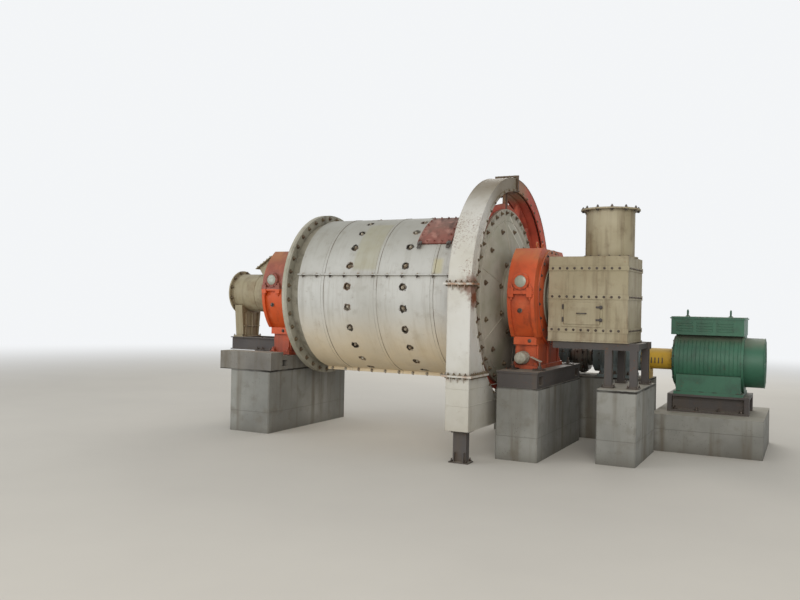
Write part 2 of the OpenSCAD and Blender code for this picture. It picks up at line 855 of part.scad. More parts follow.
// Grouted sole block under the feed bearing, with a kerb at each end and lifting pockets
module feed_sole_block() {
    x0 = feed_plinth_x0 - 196;
    x1 = feed_plinth_x0 + feed_plinth_w + 30;
    kerb_y = plinth_depth / 2 - kerb_w;
    pocket_y = kerb_y - 45;
    pocket_w = 120;
    pocket_h = 90;
    pocket_in = 150;
    pocket_up = 58;
    color("#77756f") difference() {
        block([x0, -plinth_depth / 2, plinth_h], [x1, plinth_depth / 2, sole_top + kerb_h]);
        block([x0 - cut, -kerb_y, sole_top], [x1 + cut, kerb_y, sole_top + kerb_h + cut]);
        for (y = [-pocket_y, pocket_y])
            translate([x1 - pocket_in, y - pocket_w / 2, plinth_h + pocket_up])
                cube([pocket_in + cut, pocket_w, pocket_h]);
    }
}

module discharge_plinth() {
    color("#8f8d86") concrete_block([discharge_plinth_x0, -discharge_plinth_half, 0],
        [discharge_plinth_x0 + discharge_plinth_w, discharge_plinth_half, plinth_h]);
}

// Fabricated base box under the discharge bearing
module discharge_base_box() {
    inset = 12;
    x0 = discharge_plinth_x0 + inset;
    x1 = discharge_plinth_x0 + discharge_plinth_w - inset;
    y1 = discharge_plinth_half;
    lip = 10;
    lip_t = 25;
    pocket_in = 60;
    color("#55555a") difference() {
        union() {
            block([x0, -y1, plinth_h], [x1, y1, sole_top]);
            block([x0 - lip, -y1 - lip, sole_top - lip_t], [x1 + lip, y1 + lip, sole_top]);
        }
        for (side = [-1, 1], x = [x0 - cut, x1 - pocket_in])
            block_signed([x, y1 - 260, plinth_h + 40],
                [x + pocket_in + cut, y1 - 80, sole_top - 60], side);
    }
}

module hood_plinth() {
    color("#98968f") concrete_block([hood_plinth_x0, -hood_plinth_depth / 2, 0],
        [hood_plinth_x1, hood_plinth_depth / 2, hood_plinth_h]);
}

// Plinths of the inner pinion bearing and of the outer one with the reducer
module drive_plinth() {
    inner_x = gear_mid_x - pinion_bearing_reach;
    inner_half = 170;
    lip_gap = 10;
    y0 = pinion_y - drive_plinth_depth / 2;
    y1 = pinion_y + drive_plinth_depth / 2;
    color("#98968f") {
        concrete_block([inner_x - inner_half, y0, 0],
            [min(inner_x + inner_half, guard_x0 - guard_lip - lip_gap), y1, drive_plinth_h]);
        concrete_block([outer_drive_x0, y0, 0], [outer_drive_x1, y1, drive_plinth_h]);
    }
}

module motor_plinth() {
    color("#98968f") concrete_block([motor_plinth_x0, pinion_y - motor_plinth_half, 0],
        [motor_plinth_x1, pinion_y + motor_plinth_half, motor_plinth_h]);
}

// Drive

// Pinion and its shaft in one piece
module pinion() {
    x0 = gear_mid_x - pinion_w / 2;
    end_x = gear_mid_x + pinion_bearing_reach + pinion_bearing_w / 2 + 190;
    color("#8c8f92") union() {
        along_x(x0, pinion_y, pinion_z)
            linear_extrude(pinion_w) rotate(180 + mesh_angle + 180 / pinion_teeth)
                gear_outline(pinion_teeth);
        tube_x(gear_mid_x - pinion_bearing_reach - pinion_bearing_w / 2 + 20, end_x, shaft_d / 2,
            y = pinion_y, z = pinion_z);
        tube_x(gear_mid_x - pinion_bearing_reach + pinion_bearing_w / 2 + 20,
            gear_mid_x + pinion_bearing_reach - pinion_bearing_w / 2 - 20, shaft_d / 2 + 22,
            y = pinion_y, z = pinion_z);
    }
}

// Toothed coupling between the pinion shaft and the reducer
module pinion_coupling() {
    x1 = coupling_x0 + coupling_len;
    mid = coupling_x0 + coupling_len / 2;
    color("#6f7276") difference() {
        union() {
            tube_x(coupling_x0, x1, 150, y = pinion_y, z = pinion_z);
            tube_x(coupling_x0 + 50, x1 - 50, 215, y = pinion_y, z = pinion_z);
            tube_x(mid - 28, mid + 28, 265, y = pinion_y, z = pinion_z);
            tube_x(x1 - 10, reducer_x0 + 60, reducer_shaft_r, y = pinion_y, z = pinion_z);
        }
        tube_x(coupling_x0 - cut, coupling_x0 + 140, shaft_d / 2 + seat_gap,
            y = pinion_y, z = pinion_z);
    }
}

// Split plummer block of the pinion shaft
module pinion_bearing(x) {
    x0 = x - pinion_bearing_w / 2;
    r = pinion_bearing_d / 2;
    color("#4f6f78") difference() {
        union() {
            tube_x(x0, x0 + pinion_bearing_w, r, y = pinion_y, z = pinion_z);
            block([x0 + 15, pinion_y - r, drive_plinth_h + 20],
                [x0 + pinion_bearing_w - 15, pinion_y + r, pinion_z]);
            block([x0, pinion_y - 320, drive_plinth_h],
                [x0 + pinion_bearing_w, pinion_y + 320, drive_plinth_h + 60]);
            for (side = [-1, 1]) block([x0 + 40, pinion_y + side * (r + 15) - 45, pinion_z - 40],
                [x0 + pinion_bearing_w - 40, pinion_y + side * (r + 15) + 45, pinion_z + 40]);
        }
        tube_x(x0 - cut, x0 + pinion_bearing_w + cut, shaft_d / 2 + run_gap,
            y = pinion_y, z = pinion_z);
    }
}

module pinion_bearing_inner() { pinion_bearing(gear_mid_x - pinion_bearing_reach); }
module pinion_bearing_outer() { pinion_bearing(gear_mid_x + pinion_bearing_reach); }

// In-line reducer with a ribbed round housing on a foot
module reducer() {
    x0 = reducer_x0;
    x1 = reducer_x1;
    r = 270;
    rib_step = 110;
    rib_w = 20;
    rib_h = 18;
    color("#3f6b5a") difference() {
        union() {
            tube_x(x0, x0 + 120, r - 40, y = pinion_y, z = pinion_z);
            tube_x(x0 + 110, x1 - 130, r, y = pinion_y, z = pinion_z);
            tube_x(x1 - 140, x1, r - 80, y = pinion_y, z = pinion_z);
            for (x = [x0 + 150 : rib_step : x0 + 150 + 3 * rib_step])
                tube_x(x, x + rib_w, r + rib_h, y = pinion_y, z = pinion_z);
            block([x0 + 120, pinion_y - r + 30, drive_plinth_h + 10],
                [x1 - 140, pinion_y + r - 30, pinion_z]);
            block([x0 + 90, pinion_y - 325, drive_plinth_h],
                [x1 - 110, pinion_y + 325, drive_plinth_h + 45]);
        }
        tube_x(x0 - cut, x0 + 75, reducer_shaft_r + run_gap, y = pinion_y, z = pinion_z);
    }
}

// Closed cover over the coupling between reducer and motor
module coupling_guard() {
    r = 150;
    color("#c9a227") union() {
        tube_x(reducer_x1, motor_x0, r, y = pinion_y, z = pinion_z);
        block([reducer_x1 + 40, pinion_y - r, drive_plinth_h],
            [outer_drive_x1 - 20, pinion_y + r, pinion_z]);
    }
}

module motor_frame() {
    y0 = pinion_y - motor_w / 2 + 20;
    y1 = pinion_y + motor_w / 2 - 20;
    x0 = motor_x0 - 20;
    x1 = motor_x0 + motor_len + 20;
    color("#3d3f42") difference() {
        block([x0, y0, motor_plinth_h], [x1, y1, frame_top]);
        block([x0 - cut, y0 + 120, motor_plinth_h - cut], [x1 + cut, y1 - 120, frame_top - 40]);
        for (side = [0, 1]) translate([0, side * (motor_w - 40 - 100), 0])
            block([x0 + 60, y0 - cut + side * (cut + 2), motor_plinth_h + 30],
                [x1 - 60, y0 + 98 + side * cut, frame_top - 30]);
    }
}

// Motor: round body on a skirt, with end shields, fan cowl, feet and terminal box
module motor_body() {
    r = motor_w / 2;
    x1 = motor_x0 + motor_len;
    skirt_w = motor_w - 60;
    shield_r = r - 90;
    color("#2f7a4f") union() {
        difference() {
            union() {
                tube_x(motor_x0 + 60, x1 - 60, r - 15, y = pinion_y, z = pinion_z);
                block([motor_x0 + 90, pinion_y - skirt_w / 2, frame_top],
                    [x1 - 90, pinion_y + skirt_w / 2, pinion_z - 180]);
                for (x = [motor_x0 + 60, x1 - 90])
                    tube_x(x, x + 30, r, y = pinion_y, z = pinion_z);
            }
            block([motor_x0, pinion_y - motor_w, pinion_z + r - 60],
                [x1, pinion_y + motor_w, pinion_z + motor_w]);
            block([motor_x0, pinion_y - motor_w, 0], [x1, pinion_y + motor_w, frame_top]);
        }
        tube_x(motor_x0 + 20, motor_x0 + 70, shield_r, y = pinion_y, z = pinion_z);
        tube_x(motor_x0, motor_x0 + 30, shield_r - 130, y = pinion_y, z = pinion_z);
        tube_x(x1 - 70, x1 + 190, shield_r, y = pinion_y, z = pinion_z);
        block([motor_x0 + 60, pinion_y - r + 20, frame_top],
            [x1 - 60, pinion_y + r - 20, frame_top + 40]);
        block([motor_x0 + 330, pinion_y + r - 60, pinion_z - 150],
            [motor_x0 + 680, pinion_y + r + 130, pinion_z + 110]);
    }
}

// Box of the air cooler on the motor, with a lid that stands out
module motor_cooler() {
    half = motor_w / 2 - 60;
    z0 = pinion_z + motor_w / 2 - 60;
    z1 = pinion_z + cooler_h;
    lid = 14;
    color("#2f7a4f") union() {
        block([motor_x0 + 10, pinion_y - half, z0], [motor_x0 + motor_len - 60, pinion_y + half, z1]);
        block([motor_x0 + 10 - lid, pinion_y - half - lid, z1 - 30],
            [motor_x0 + motor_len - 60 + lid, pinion_y + half + lid, z1 - 12]);
    }
}

// Feed end

trunnion_feed_end = feed_bearing_x - bearing_w / 2 - thrust_gap - collar_w - feed_nose;
spout_x1 = trunnion_feed_end - 12;
spout_x0 = spout_x1 - spout_len;
spout_r = spout_d / 2;

// Fixed spout with a nose that reaches into the trunnion
module feed_spout() {
    nose_r = passage_r - 18;
    nose_in = 64;
    color("#b3a68a") difference() {
        union() {
            tube_x(spout_x0, spout_x1, spout_r, spout_r - spout_t);
            tube_x(spout_x1 - spout_t, spout_x1, spout_r, nose_r - spout_t);
            tube_x(spout_x1 - 1, spout_x1 + nose_in, nose_r, nose_r - spout_t);
        }
        chute_hole();
    }
}

chute_x = spout_x1 - 20;
chute_len = spout_r + chute_out;

// Square hole in the top of the spout under the chute
module chute_hole() {
    translate([chute_x, 0, axis_h]) rotate([0, chute_angle - 90, 0])
        translate([-chute_in / 2, -chute_in / 2, spout_r - 60])
            cube([chute_in, chute_in, 2 * spout_r]);
}

// Short square chute, cut to the round of the spout
module feed_chute() {
    wall = 8;
    outer = chute_in + 2 * wall;
    rim = 45;
    color("#aaa08a") difference() {
        translate([chute_x, 0, axis_h]) rotate([0, chute_angle - 90, 0]) difference() {
            union() {
                translate([-outer / 2, -outer / 2, 0]) cube([outer, outer, chute_len]);
                translate([-outer / 2 - rim, -outer / 2 - rim, chute_len - 12])
                    cube([outer + 2 * rim, outer + 2 * rim, 12]);
            }
            translate([-chute_in / 2, -chute_in / 2, -cut])
                cube([chute_in, chute_in, chute_len + 2 * cut]);
        }
        tube_x(spout_x0 - 200, spout_x1 + 400, spout_r + seat_gap);
    }
}

// Flange on the open end of the spout
module feed_flange() {
    thick = 24;
    color("#8f846c") difference() {
        tube_x(spout_x0 - thick, spout_x0, feed_flange_d / 2, spout_r - spout_t);
        for (i = [0 : flange_holes - 1])
            along_x(spout_x0 - thick - cut) rotate((i + 0.5) * 360 / flange_holes)
                translate([flange_pcd / 2, 0, 0])
                    cylinder(h = thick + 2 * cut, d = flange_hole_d, $fn = 24);
    }
}

pedestal_z0 = sole_top + frame_h;
pedestal_x0 = spout_x0 + 25;
pedestal_x1 = pedestal_x0 + 140;

// Pedestal that widens upwards, with a saddle for the spout and a foot plate
module spout_pedestal() {
    foot_half = 200;
    foot_rim = 40;
    foot_t = 20;
    saddle_half = 250;
    saddle_z = axis_h - 200;
    color("#b5a98c") difference() {
        union() {
            along_x(pedestal_x0, 0, 0) linear_extrude(pedestal_x1 - pedestal_x0) polygon([
                [-foot_half, pedestal_z0],
                [foot_half, pedestal_z0],
                [saddle_half, saddle_z],
                [-saddle_half, saddle_z]
            ]);
            block([pedestal_x0 - foot_t, -foot_half - foot_rim, pedestal_z0],
                [pedestal_x1 + foot_t, foot_half + foot_rim, pedestal_z0 + foot_t]);
        }
        tube_x(pedestal_x0 - cut, pedestal_x1 + cut, spout_r + seat_gap);
    }
}

// Frame of rolled beams that carries the pedestal out past the sole block
module spout_frame() {
    x0 = pedestal_x0 - 30;
    x1 = feed_bearing_x - bearing_w / 2 - 30;
    half = 300;
    beam_w = 100;
    cross_w = 90;
    pad_len = 160;
    pad_h = 30;
    z0 = sole_top + pad_h;
    z1 = sole_top + frame_h;
    color("#3b3836") union() {
        for (y = [-half, half - beam_w]) beam_x(x0, x1, y, beam_w, z0, z1);
        for (x = [x0, pedestal_x1 - 60, x1 - cross_w])
            block([x, beam_w / 2 - half, z0 + 14], [x + cross_w, half - beam_w / 2, z1]);
        for (x = [feed_plinth_x0 - 150, x1 - 200], y = [-half, half - beam_w])
            block([x, y, sole_top], [x + pad_len, y + beam_w, z0 + 1]);
    }
}

// Rolled I-beam along X
module beam_x(x0, x1, y, w, z0, z1) {
    web_w = 12;
    flange = 14;
    block([x0, y, z0], [x1, y + w, z0 + flange]);
    block([x0, y, z1 - flange], [x1, y + w, z1]);
    block([x0, y + (w - web_w) / 2, z0 + flange - 1], [x1, y + (w + web_w) / 2, z1 - flange + 1]);
}

// Discharge end

// Hollow hood with stiffening bands, open to the trunnion and to the duct
module discharge_hood() {
    w = hood_w / 2;
    band = 10;
    band_w = 60;
    band_in = 120;
    rim = 14;
    color("#b0a68d") difference() {
        union() {
            block([hood_x0, -w, hood_z0], [hood_x1, w, hood_z1]);
            for (z = [hood_z0 + band_in, (hood_z0 + hood_z1) / 2, hood_z1 - band_in - band_w])
                block([hood_x0, -w - band, z], [hood_x1 + band, w + band, z + band_w]);
            block([hood_x0, -w - rim, hood_z0], [hood_x1 + rim, w + rim, hood_z0 + rim]);
        }
        block([hood_x0 + hood_t, -w + hood_t, hood_z0 + hood_t],
            [hood_x1 - hood_t, w - hood_t, hood_z1 - hood_t]);
        tube_x(hood_x0 - cut, hood_x0 + hood_t + cut, nose_d / 2 + 12);
        translate([duct_x, 0, hood_z1 - hood_t - cut])
            cylinder(h = hood_t + 2 * cut, d = duct_d - 2 * hood_t);
    }
}

// Round exhaust duct with its flange
module exhaust_duct() {
    tall = duct_top - hood_rise;
    thick = 20;
    rim = 65;
    color("#b3a78c") translate([duct_x, 0, hood_z1]) difference() {
        union() {
            cylinder(h = tall, d = duct_d);
            cylinder(h = 12, d = duct_d + 90);
            translate([0, 0, tall - thick]) cylinder(h = thick, d = duct_d + 2 * rim);
        }
        translate([0, 0, -cut]) cylinder(h = tall + 2 * cut, d = duct_d - 2 * hood_t);
        for (i = [0 : flange_holes - 1]) rotate((i + 0.5) * 360 / flange_holes)
            translate([duct_d / 2 + 38, 0, tall - thick - cut])
                cylinder(h = thick + 2 * cut, d = flange_hole_d, $fn = 24);
    }
}

// Legs on foot plates and the beams that carry the hood on its plinth
module hood_stand() {
    leg = 90;
    foot = 25;
    color("#55504a") union() {
        for (x = [hood_plinth_x0 + 40, hood_plinth_x1 - leg - 40],
            y = [-hood_w / 2 + 20, hood_w / 2 - leg - 20]) {
            block([x, y, hood_plinth_h], [x + leg, y + leg, hood_z0]);
            block([x - foot, y - foot, hood_plinth_h], [x + leg + foot, y + leg + foot, hood_plinth_h + 16]);
        }
        for (y = [-hood_w / 2 + 20, hood_w / 2 - leg - 20])
            block([hood_x0 + 60, y, hood_z0 - leg], [hood_plinth_x1 - 20, y + leg, hood_z0]);
        block([hood_plinth_x1 - leg - 30, -hood_w / 2 + leg, hood_z0 - leg + 10],
            [hood_plinth_x1 - 50, hood_w / 2 - leg, hood_z0 - 10]);
    }
}

feed_plinth();
discharge_plinth();
hood_plinth();
drive_plinth();
motor_plinth();
feed_sole_block();
discharge_base_box();
feed_bearing_housing();
feed_bearing_cap();
discharge_bearing_housing();
discharge_bearing_cap();
drum_shell();
feed_head();
discharge_head();
lagging_upper_front();
lagging_upper_back();
lagging_lower_front();
lagging_lower_back();
manhole_cover();
girth_gear_front();
girth_gear_back();
guard_arch_front();
guard_arch_back();
guard_side_front();
guard_side_back();
guard_sump();
guard_legs();
pinion_cover();
pinion();
pinion_coupling();
pinion_bearing_inner();
pinion_bearing_outer();
reducer();
coupling_guard();
motor_frame();
motor_body();
motor_cooler();
feed_spout();
feed_flange();
feed_chute();
spout_pedestal();
spout_frame();
discharge_hood();
hood_stand();
exhaust_duct();
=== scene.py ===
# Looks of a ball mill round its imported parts: finishes, bolts, welds, fittings, lamps and camera
import json
from math import cos, pi, radians, sin

import bpy
import numpy as np
from mathutils import Matrix, Vector


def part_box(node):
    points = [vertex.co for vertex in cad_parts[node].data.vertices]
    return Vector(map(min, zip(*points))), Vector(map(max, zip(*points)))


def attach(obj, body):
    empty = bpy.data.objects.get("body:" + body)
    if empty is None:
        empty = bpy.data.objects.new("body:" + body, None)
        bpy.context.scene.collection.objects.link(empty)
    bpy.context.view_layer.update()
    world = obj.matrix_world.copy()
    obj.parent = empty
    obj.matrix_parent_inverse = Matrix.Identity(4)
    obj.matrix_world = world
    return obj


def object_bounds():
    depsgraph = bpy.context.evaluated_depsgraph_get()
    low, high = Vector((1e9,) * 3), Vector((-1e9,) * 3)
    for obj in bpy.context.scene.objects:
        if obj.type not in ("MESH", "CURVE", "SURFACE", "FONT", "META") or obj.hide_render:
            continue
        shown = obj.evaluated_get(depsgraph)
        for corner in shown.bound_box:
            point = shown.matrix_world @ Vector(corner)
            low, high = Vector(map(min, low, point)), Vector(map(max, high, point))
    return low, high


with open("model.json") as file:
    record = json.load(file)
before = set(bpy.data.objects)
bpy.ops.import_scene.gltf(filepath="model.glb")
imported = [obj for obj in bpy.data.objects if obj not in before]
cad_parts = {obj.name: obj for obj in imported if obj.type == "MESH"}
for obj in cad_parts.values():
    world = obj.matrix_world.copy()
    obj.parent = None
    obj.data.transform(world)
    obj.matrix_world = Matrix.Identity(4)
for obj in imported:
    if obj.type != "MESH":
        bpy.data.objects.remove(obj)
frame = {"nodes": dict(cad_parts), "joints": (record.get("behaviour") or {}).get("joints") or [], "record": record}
cadLow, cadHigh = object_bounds()
nodes = frame["nodes"]
axes = {joint["name"]: Vector(joint["pos_m"]) for joint in frame["joints"]}
drumAxis, pinionAxis = axes["drum_spin"], axes["pinion_spin"]
axisZ = drumAxis.z
print("frame loaded:", len(nodes), "nodes")

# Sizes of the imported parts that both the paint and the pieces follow, in metres
mill = {
    "shellRadius": 1.070,
    "jacketRadius": 1.110,
    "flange": 0.040,            # thickness of the shell's end flanges, of the heads' and of the gear's web
    "flangeCircle": 1.150,      # radius of their bolts' circle
    "linerX": (1.688, 2.540),   # the two rows of liner bolts in the jacket's cut-outs
    "linerCount": 24,
    "linerPhase": 5,            # degrees above the front
    "lapX": (1.289, 2.124, 2.959),
    "guardRadius": 1.618,
    "guardSplits": (2.170, 1.056),  # heights of the guard's two level joints
    "bearingSplit": 2.090,
    "plinthTop": 0.907,
}


# Shapes: a shape is a pair of points and groups of faces, all as arrays

# Skin over rings of points that run counter-clockwise seen from the last ring
def loft(rings, startCap=True, endCap=True, loop=False):
    rings = np.asarray(rings, float)
    index = np.arange(rings.shape[0] * rings.shape[1]).reshape(rings.shape[:2])
    rows = np.vstack([index, index[:1]]) if loop else index
    low, high = rows[:-1], rows[1:]
    faces = [np.stack([low, np.roll(low, -1, 1), np.roll(high, -1, 1), high], -1).reshape(-1, 4)]
    if startCap and not loop:
        faces.append(index[:1, ::-1])
    if endCap and not loop:
        faces.append(index[-1:])
    return rings.reshape(-1, 3), faces


# Profile rows of (radius, height) turned about Z: x = r cos a, y = r sin a, z = h
def turned(profile, sides=24, **caps):
    radius, height = np.array(profile, float).T[:, :, None, None]
    angles = evenly(sides)
    ring = np.stack([np.cos(angles), np.sin(angles), 0 * angles], -1)
    return loft(radius * ring + height * np.array([0, 0, 1]), **caps)


# Outline of a rectangle with round corners, counter-clockwise
def roundedOutline(width, depth, corner, steps):
    turn = np.linspace(0, pi / 2, steps)
    quarter = corner * np.stack([np.cos(turn), np.sin(turn)], -1)
    outline = []
    for quarterTurn, middle in zip(evenly(4), ((1, 1), (-1, 1), (-1, -1), (1, -1))):
        spin = np.array([[cos(quarterTurn), -sin(quarterTurn)], [sin(quarterTurn), cos(quarterTurn)]])
        outline.append(quarter @ spin.T + np.array(middle) * (np.array([width, depth]) / 2 - corner))
    return np.vstack(outline)


# Plate with round corners and eased edges, from z = 0 up to its thickness
def plate(width, depth, thick, corner, ease=0.002, steps=4):
    ease = min(ease, 0.45 * thick, 0.9 * corner)
    inner = roundedOutline(width - 2 * ease, depth - 2 * ease, corner - ease, steps)
    outer = roundedOutline(width, depth, corner, steps)
    levels = [(inner, 0), (outer, ease), (outer, thick - ease), (inner, thick)]
    return loft([np.column_stack([outline, np.full(len(outline), z)]) for outline, z in levels])


# Box between two opposite corners with eased edges
def block(corner, opposite, ease=0.002):
    low, high = np.minimum(corner, opposite), np.maximum(corner, opposite)
    size = high - low
    points, faces = plate(*size, min(2 * ease, 0.4 * min(size[:2])), ease, 2)
    return points + [*((low + high) / 2)[:2], low[2]], faces


# Round bar carried along a path of points, square to it all the way
def rod(path, radius, sides=10, loop=False):
    path = np.asarray(path, float)
    ahead = np.roll(path, -1, 0) - np.roll(path, 1, 0) if loop else np.gradient(path, axis=0)
    ahead /= np.linalg.norm(ahead, axis=1, keepdims=True)
    flat = np.linalg.svd(ahead.T @ ahead)[2][2]  # the direction that the path turns about, never along it
    side = np.cross(flat, ahead)
    side /= np.linalg.norm(side, axis=1, keepdims=True)
    over = np.cross(ahead, side)
    angles = evenly(sides)[None, :, None]
    radius = np.broadcast_to(np.asarray(radius, float), len(path))[:, None, None]
    ring = np.cos(angles) * side[:, None] + np.sin(angles) * over[:, None]
    return loft(path[:, None] + radius * ring, loop=loop)


# Weld bead along a path: a flat rod whose radius ripples once every few millimetres
def bead(path, radius=0.005, loop=False):
    return rod(path, radius * (1 + 0.16 * np.sin(np.arange(len(path)) * 2.1)), 5, loop)


# Weld bead along a straight line, with a point every two centimetres
def seam(start, end, radius=0.005):
    start, end = np.array(start, float), np.array(end, float)
    count = max(2, int(np.linalg.norm(end - start) / 0.02) + 1)
    return bead(start + np.linspace(0, 1, count)[:, None] * (end - start), radius)


# Copies of a shape with its Z turned to each aim, and turned about that aim by each roll
def spread(shape, places, aims, rolls=0.0):
    points, faces = shape
    places = np.atleast_2d(np.asarray(places, float))
    aims = np.broadcast_to(np.asarray(aims, float), places.shape)
    aims = aims / np.linalg.norm(aims, axis=1, keepdims=True)
    helper = np.where(np.abs(aims[:, 2:]) < 0.9, [0, 0, 1.0], [1.0, 0, 0])
    across = np.cross(helper, aims)
    across /= np.linalg.norm(across, axis=1, keepdims=True)
    upright = np.cross(aims, across)
    rolls = np.broadcast_to(np.asarray(rolls, float), len(places))[:, None]
    first = np.cos(rolls) * across + np.sin(rolls) * upright
    second = np.cos(rolls) * upright - np.sin(rolls) * across
    many = np.einsum("kij,nj->kni", np.stack([first, second, aims], -1), points) + places[:, None]
    shift = np.arange(len(places))[:, None, None] * len(points)
    return many.reshape(-1, 3), [(group[None] + shift).reshape(-1, group.shape[-1]) for group in faces]


# Several shapes as one
def together(*shapes):
    points, faces, count = [], [], 0
    for shapePoints, shapeFaces in shapes:
        points.append(shapePoints)
        faces += [group + count for group in shapeFaces]
        count += len(shapePoints)
    return np.vstack(points), faces


# Evenly spaced angles of a full turn
def evenly(count, startDegrees=0.0):
    return radians(startDegrees) + np.arange(count) * 2 * pi / count


# Points about an axis along X, the drum's if none is given: angle 0 faces the front, 90 degrees is up
def circle(x, radius, angles, axis=drumAxis):
    x, radius, angles = np.broadcast_arrays(x, radius, np.asarray(angles, float))
    return np.stack([x, axis.y - radius * np.cos(angles), axis.z + radius * np.sin(angles)], -1)


# Outward directions at the same angles
def outward(angles):
    angles = np.asarray(angles, float)
    return np.stack([0 * angles, -np.cos(angles), np.sin(angles)], -1)


# Points on a level circle about an upright axis in the plane y = 0
def levelCircle(x, z, radius, angles):
    return np.column_stack([x + radius * np.cos(angles), radius * np.sin(angles), np.full(len(angles), z)])


# Every place with one of the xs, one of the ys and one of the zs, where a single number stands for itself
def grid(xs, ys, zs):
    return np.stack(np.meshgrid(xs, ys, zs, indexing="ij"), -1).reshape(-1, 3)


# Hexagon bolt head or nut on z = 0, with a washer under it and a thread's end out of it
def hexFastener(across, thread=0.0, washer=True):
    corner = across / 2 / cos(pi / 6)
    tall = 0.66 * across
    flat = 0.12 * across if washer else 0.0
    top = flat + tall
    shapes = [turned([(corner, flat), (corner, flat + tall * 0.86), (corner * 0.86, top)], 6)]
    if washer:
        shapes.append(turned([(1.06 * across, 0), (1.06 * across, flat * 0.8), (across, flat)], 14))
    if thread:
        end = across * 0.31
        profile = [(end, top), (end, top + thread * 0.8), (end * 0.8, top + thread)]
        shapes.append(turned(profile, 8, startCap=False))
    return together(*shapes)


# Hexagon fasteners of one size at many places, each turned a little differently, as if tightened by hand
def hexes(across, places, aims, thread=0.0, washer=True):
    places = np.atleast_2d(np.asarray(places, float))
    rolls = np.arange(len(places)) * 2.399963 % (pi / 3)
    return spread(hexFastener(across, thread, washer), places, aims, rolls)


# Low round head of a screw on z = 0
def roundHead(across):
    profile = across / 2 * np.array([(1, 0), (0.92, 0.35), (0.5, 0.62)])
    return turned(profile, 10, startCap=False)


# Lifting eye on a collar, its foot on z = 0 and its ring in the XZ plane
def liftingEye(size):
    turn = evenly(20)
    ring = np.stack([size * np.cos(turn), 0 * turn, size * (1.55 + np.sin(turn))], -1)
    collar = turned([(size * 0.85, 0), (size * 0.85, size * 0.2), (size * 0.45, size * 0.55)], 12)
    return together(rod(ring, size * 0.3, 8, loop=True), collar)


# Makes shapes one piece that rides on a body, in its slot's finish unless another finish is named
def addPiece(name, shapes, slotName="dark_steel", finish=None, body="root"):
    points, faces = together(*shapes)
    mesh = bpy.data.meshes.new(name)
    mesh.from_pydata(points, [], [face for group in faces for face in group.tolist()])
    mesh.polygons.foreach_set("use_smooth", np.ones(len(mesh.polygons), bool))
    mesh.set_sharp_from_angle(angle=radians(38))
    mesh.materials.append(finishes[finish or slotName])
    piece = bpy.data.objects.new(name, mesh)
    bpy.context.scene.collection.objects.link(piece)
    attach(piece, body)


# A socket of a material's nodes that can stand in a sum or a product
class Signal:
    def __init__(self, paint, socket):
        self.paint, self.socket = paint, socket

    def __add__(self, other):
        return self.paint.maths("ADD", self, other)

    def __sub__(self, other):
        return self.paint.maths("SUBTRACT", self, other)

    def __rsub__(self, other):
        return self.paint.maths("SUBTRACT", other, self)

    def __mul__(self, other):
        return self.paint.maths("MULTIPLY", self, other)

    def __radd__(self, other):
        return self.paint.maths("ADD", self, other)

    def __rmul__(self, other):
        return self.paint.maths("MULTIPLY", self, other)

    # Smooth step from 0 at low to 1 at high, also falling where low is the larger
    def between(self, low, high):
        start, end, first, last = (low, high, 0, 1) if low < high else (high, low, 1, 0)
        return self.paint.node("ShaderNodeMapRange", {"interpolation_type": "SMOOTHSTEP"},
                               {0: self, 1: start, 2: end, 3: first, 4: last})

    # Distance to the nearest whole multiple of a step, from 0 to half the step
    def toMultiple(self, step, offset=0.0):
        return self.paint.maths("PINGPONG", self - offset, step / 2)

    def size(self):
        return self.paint.maths("ABSOLUTE", self)


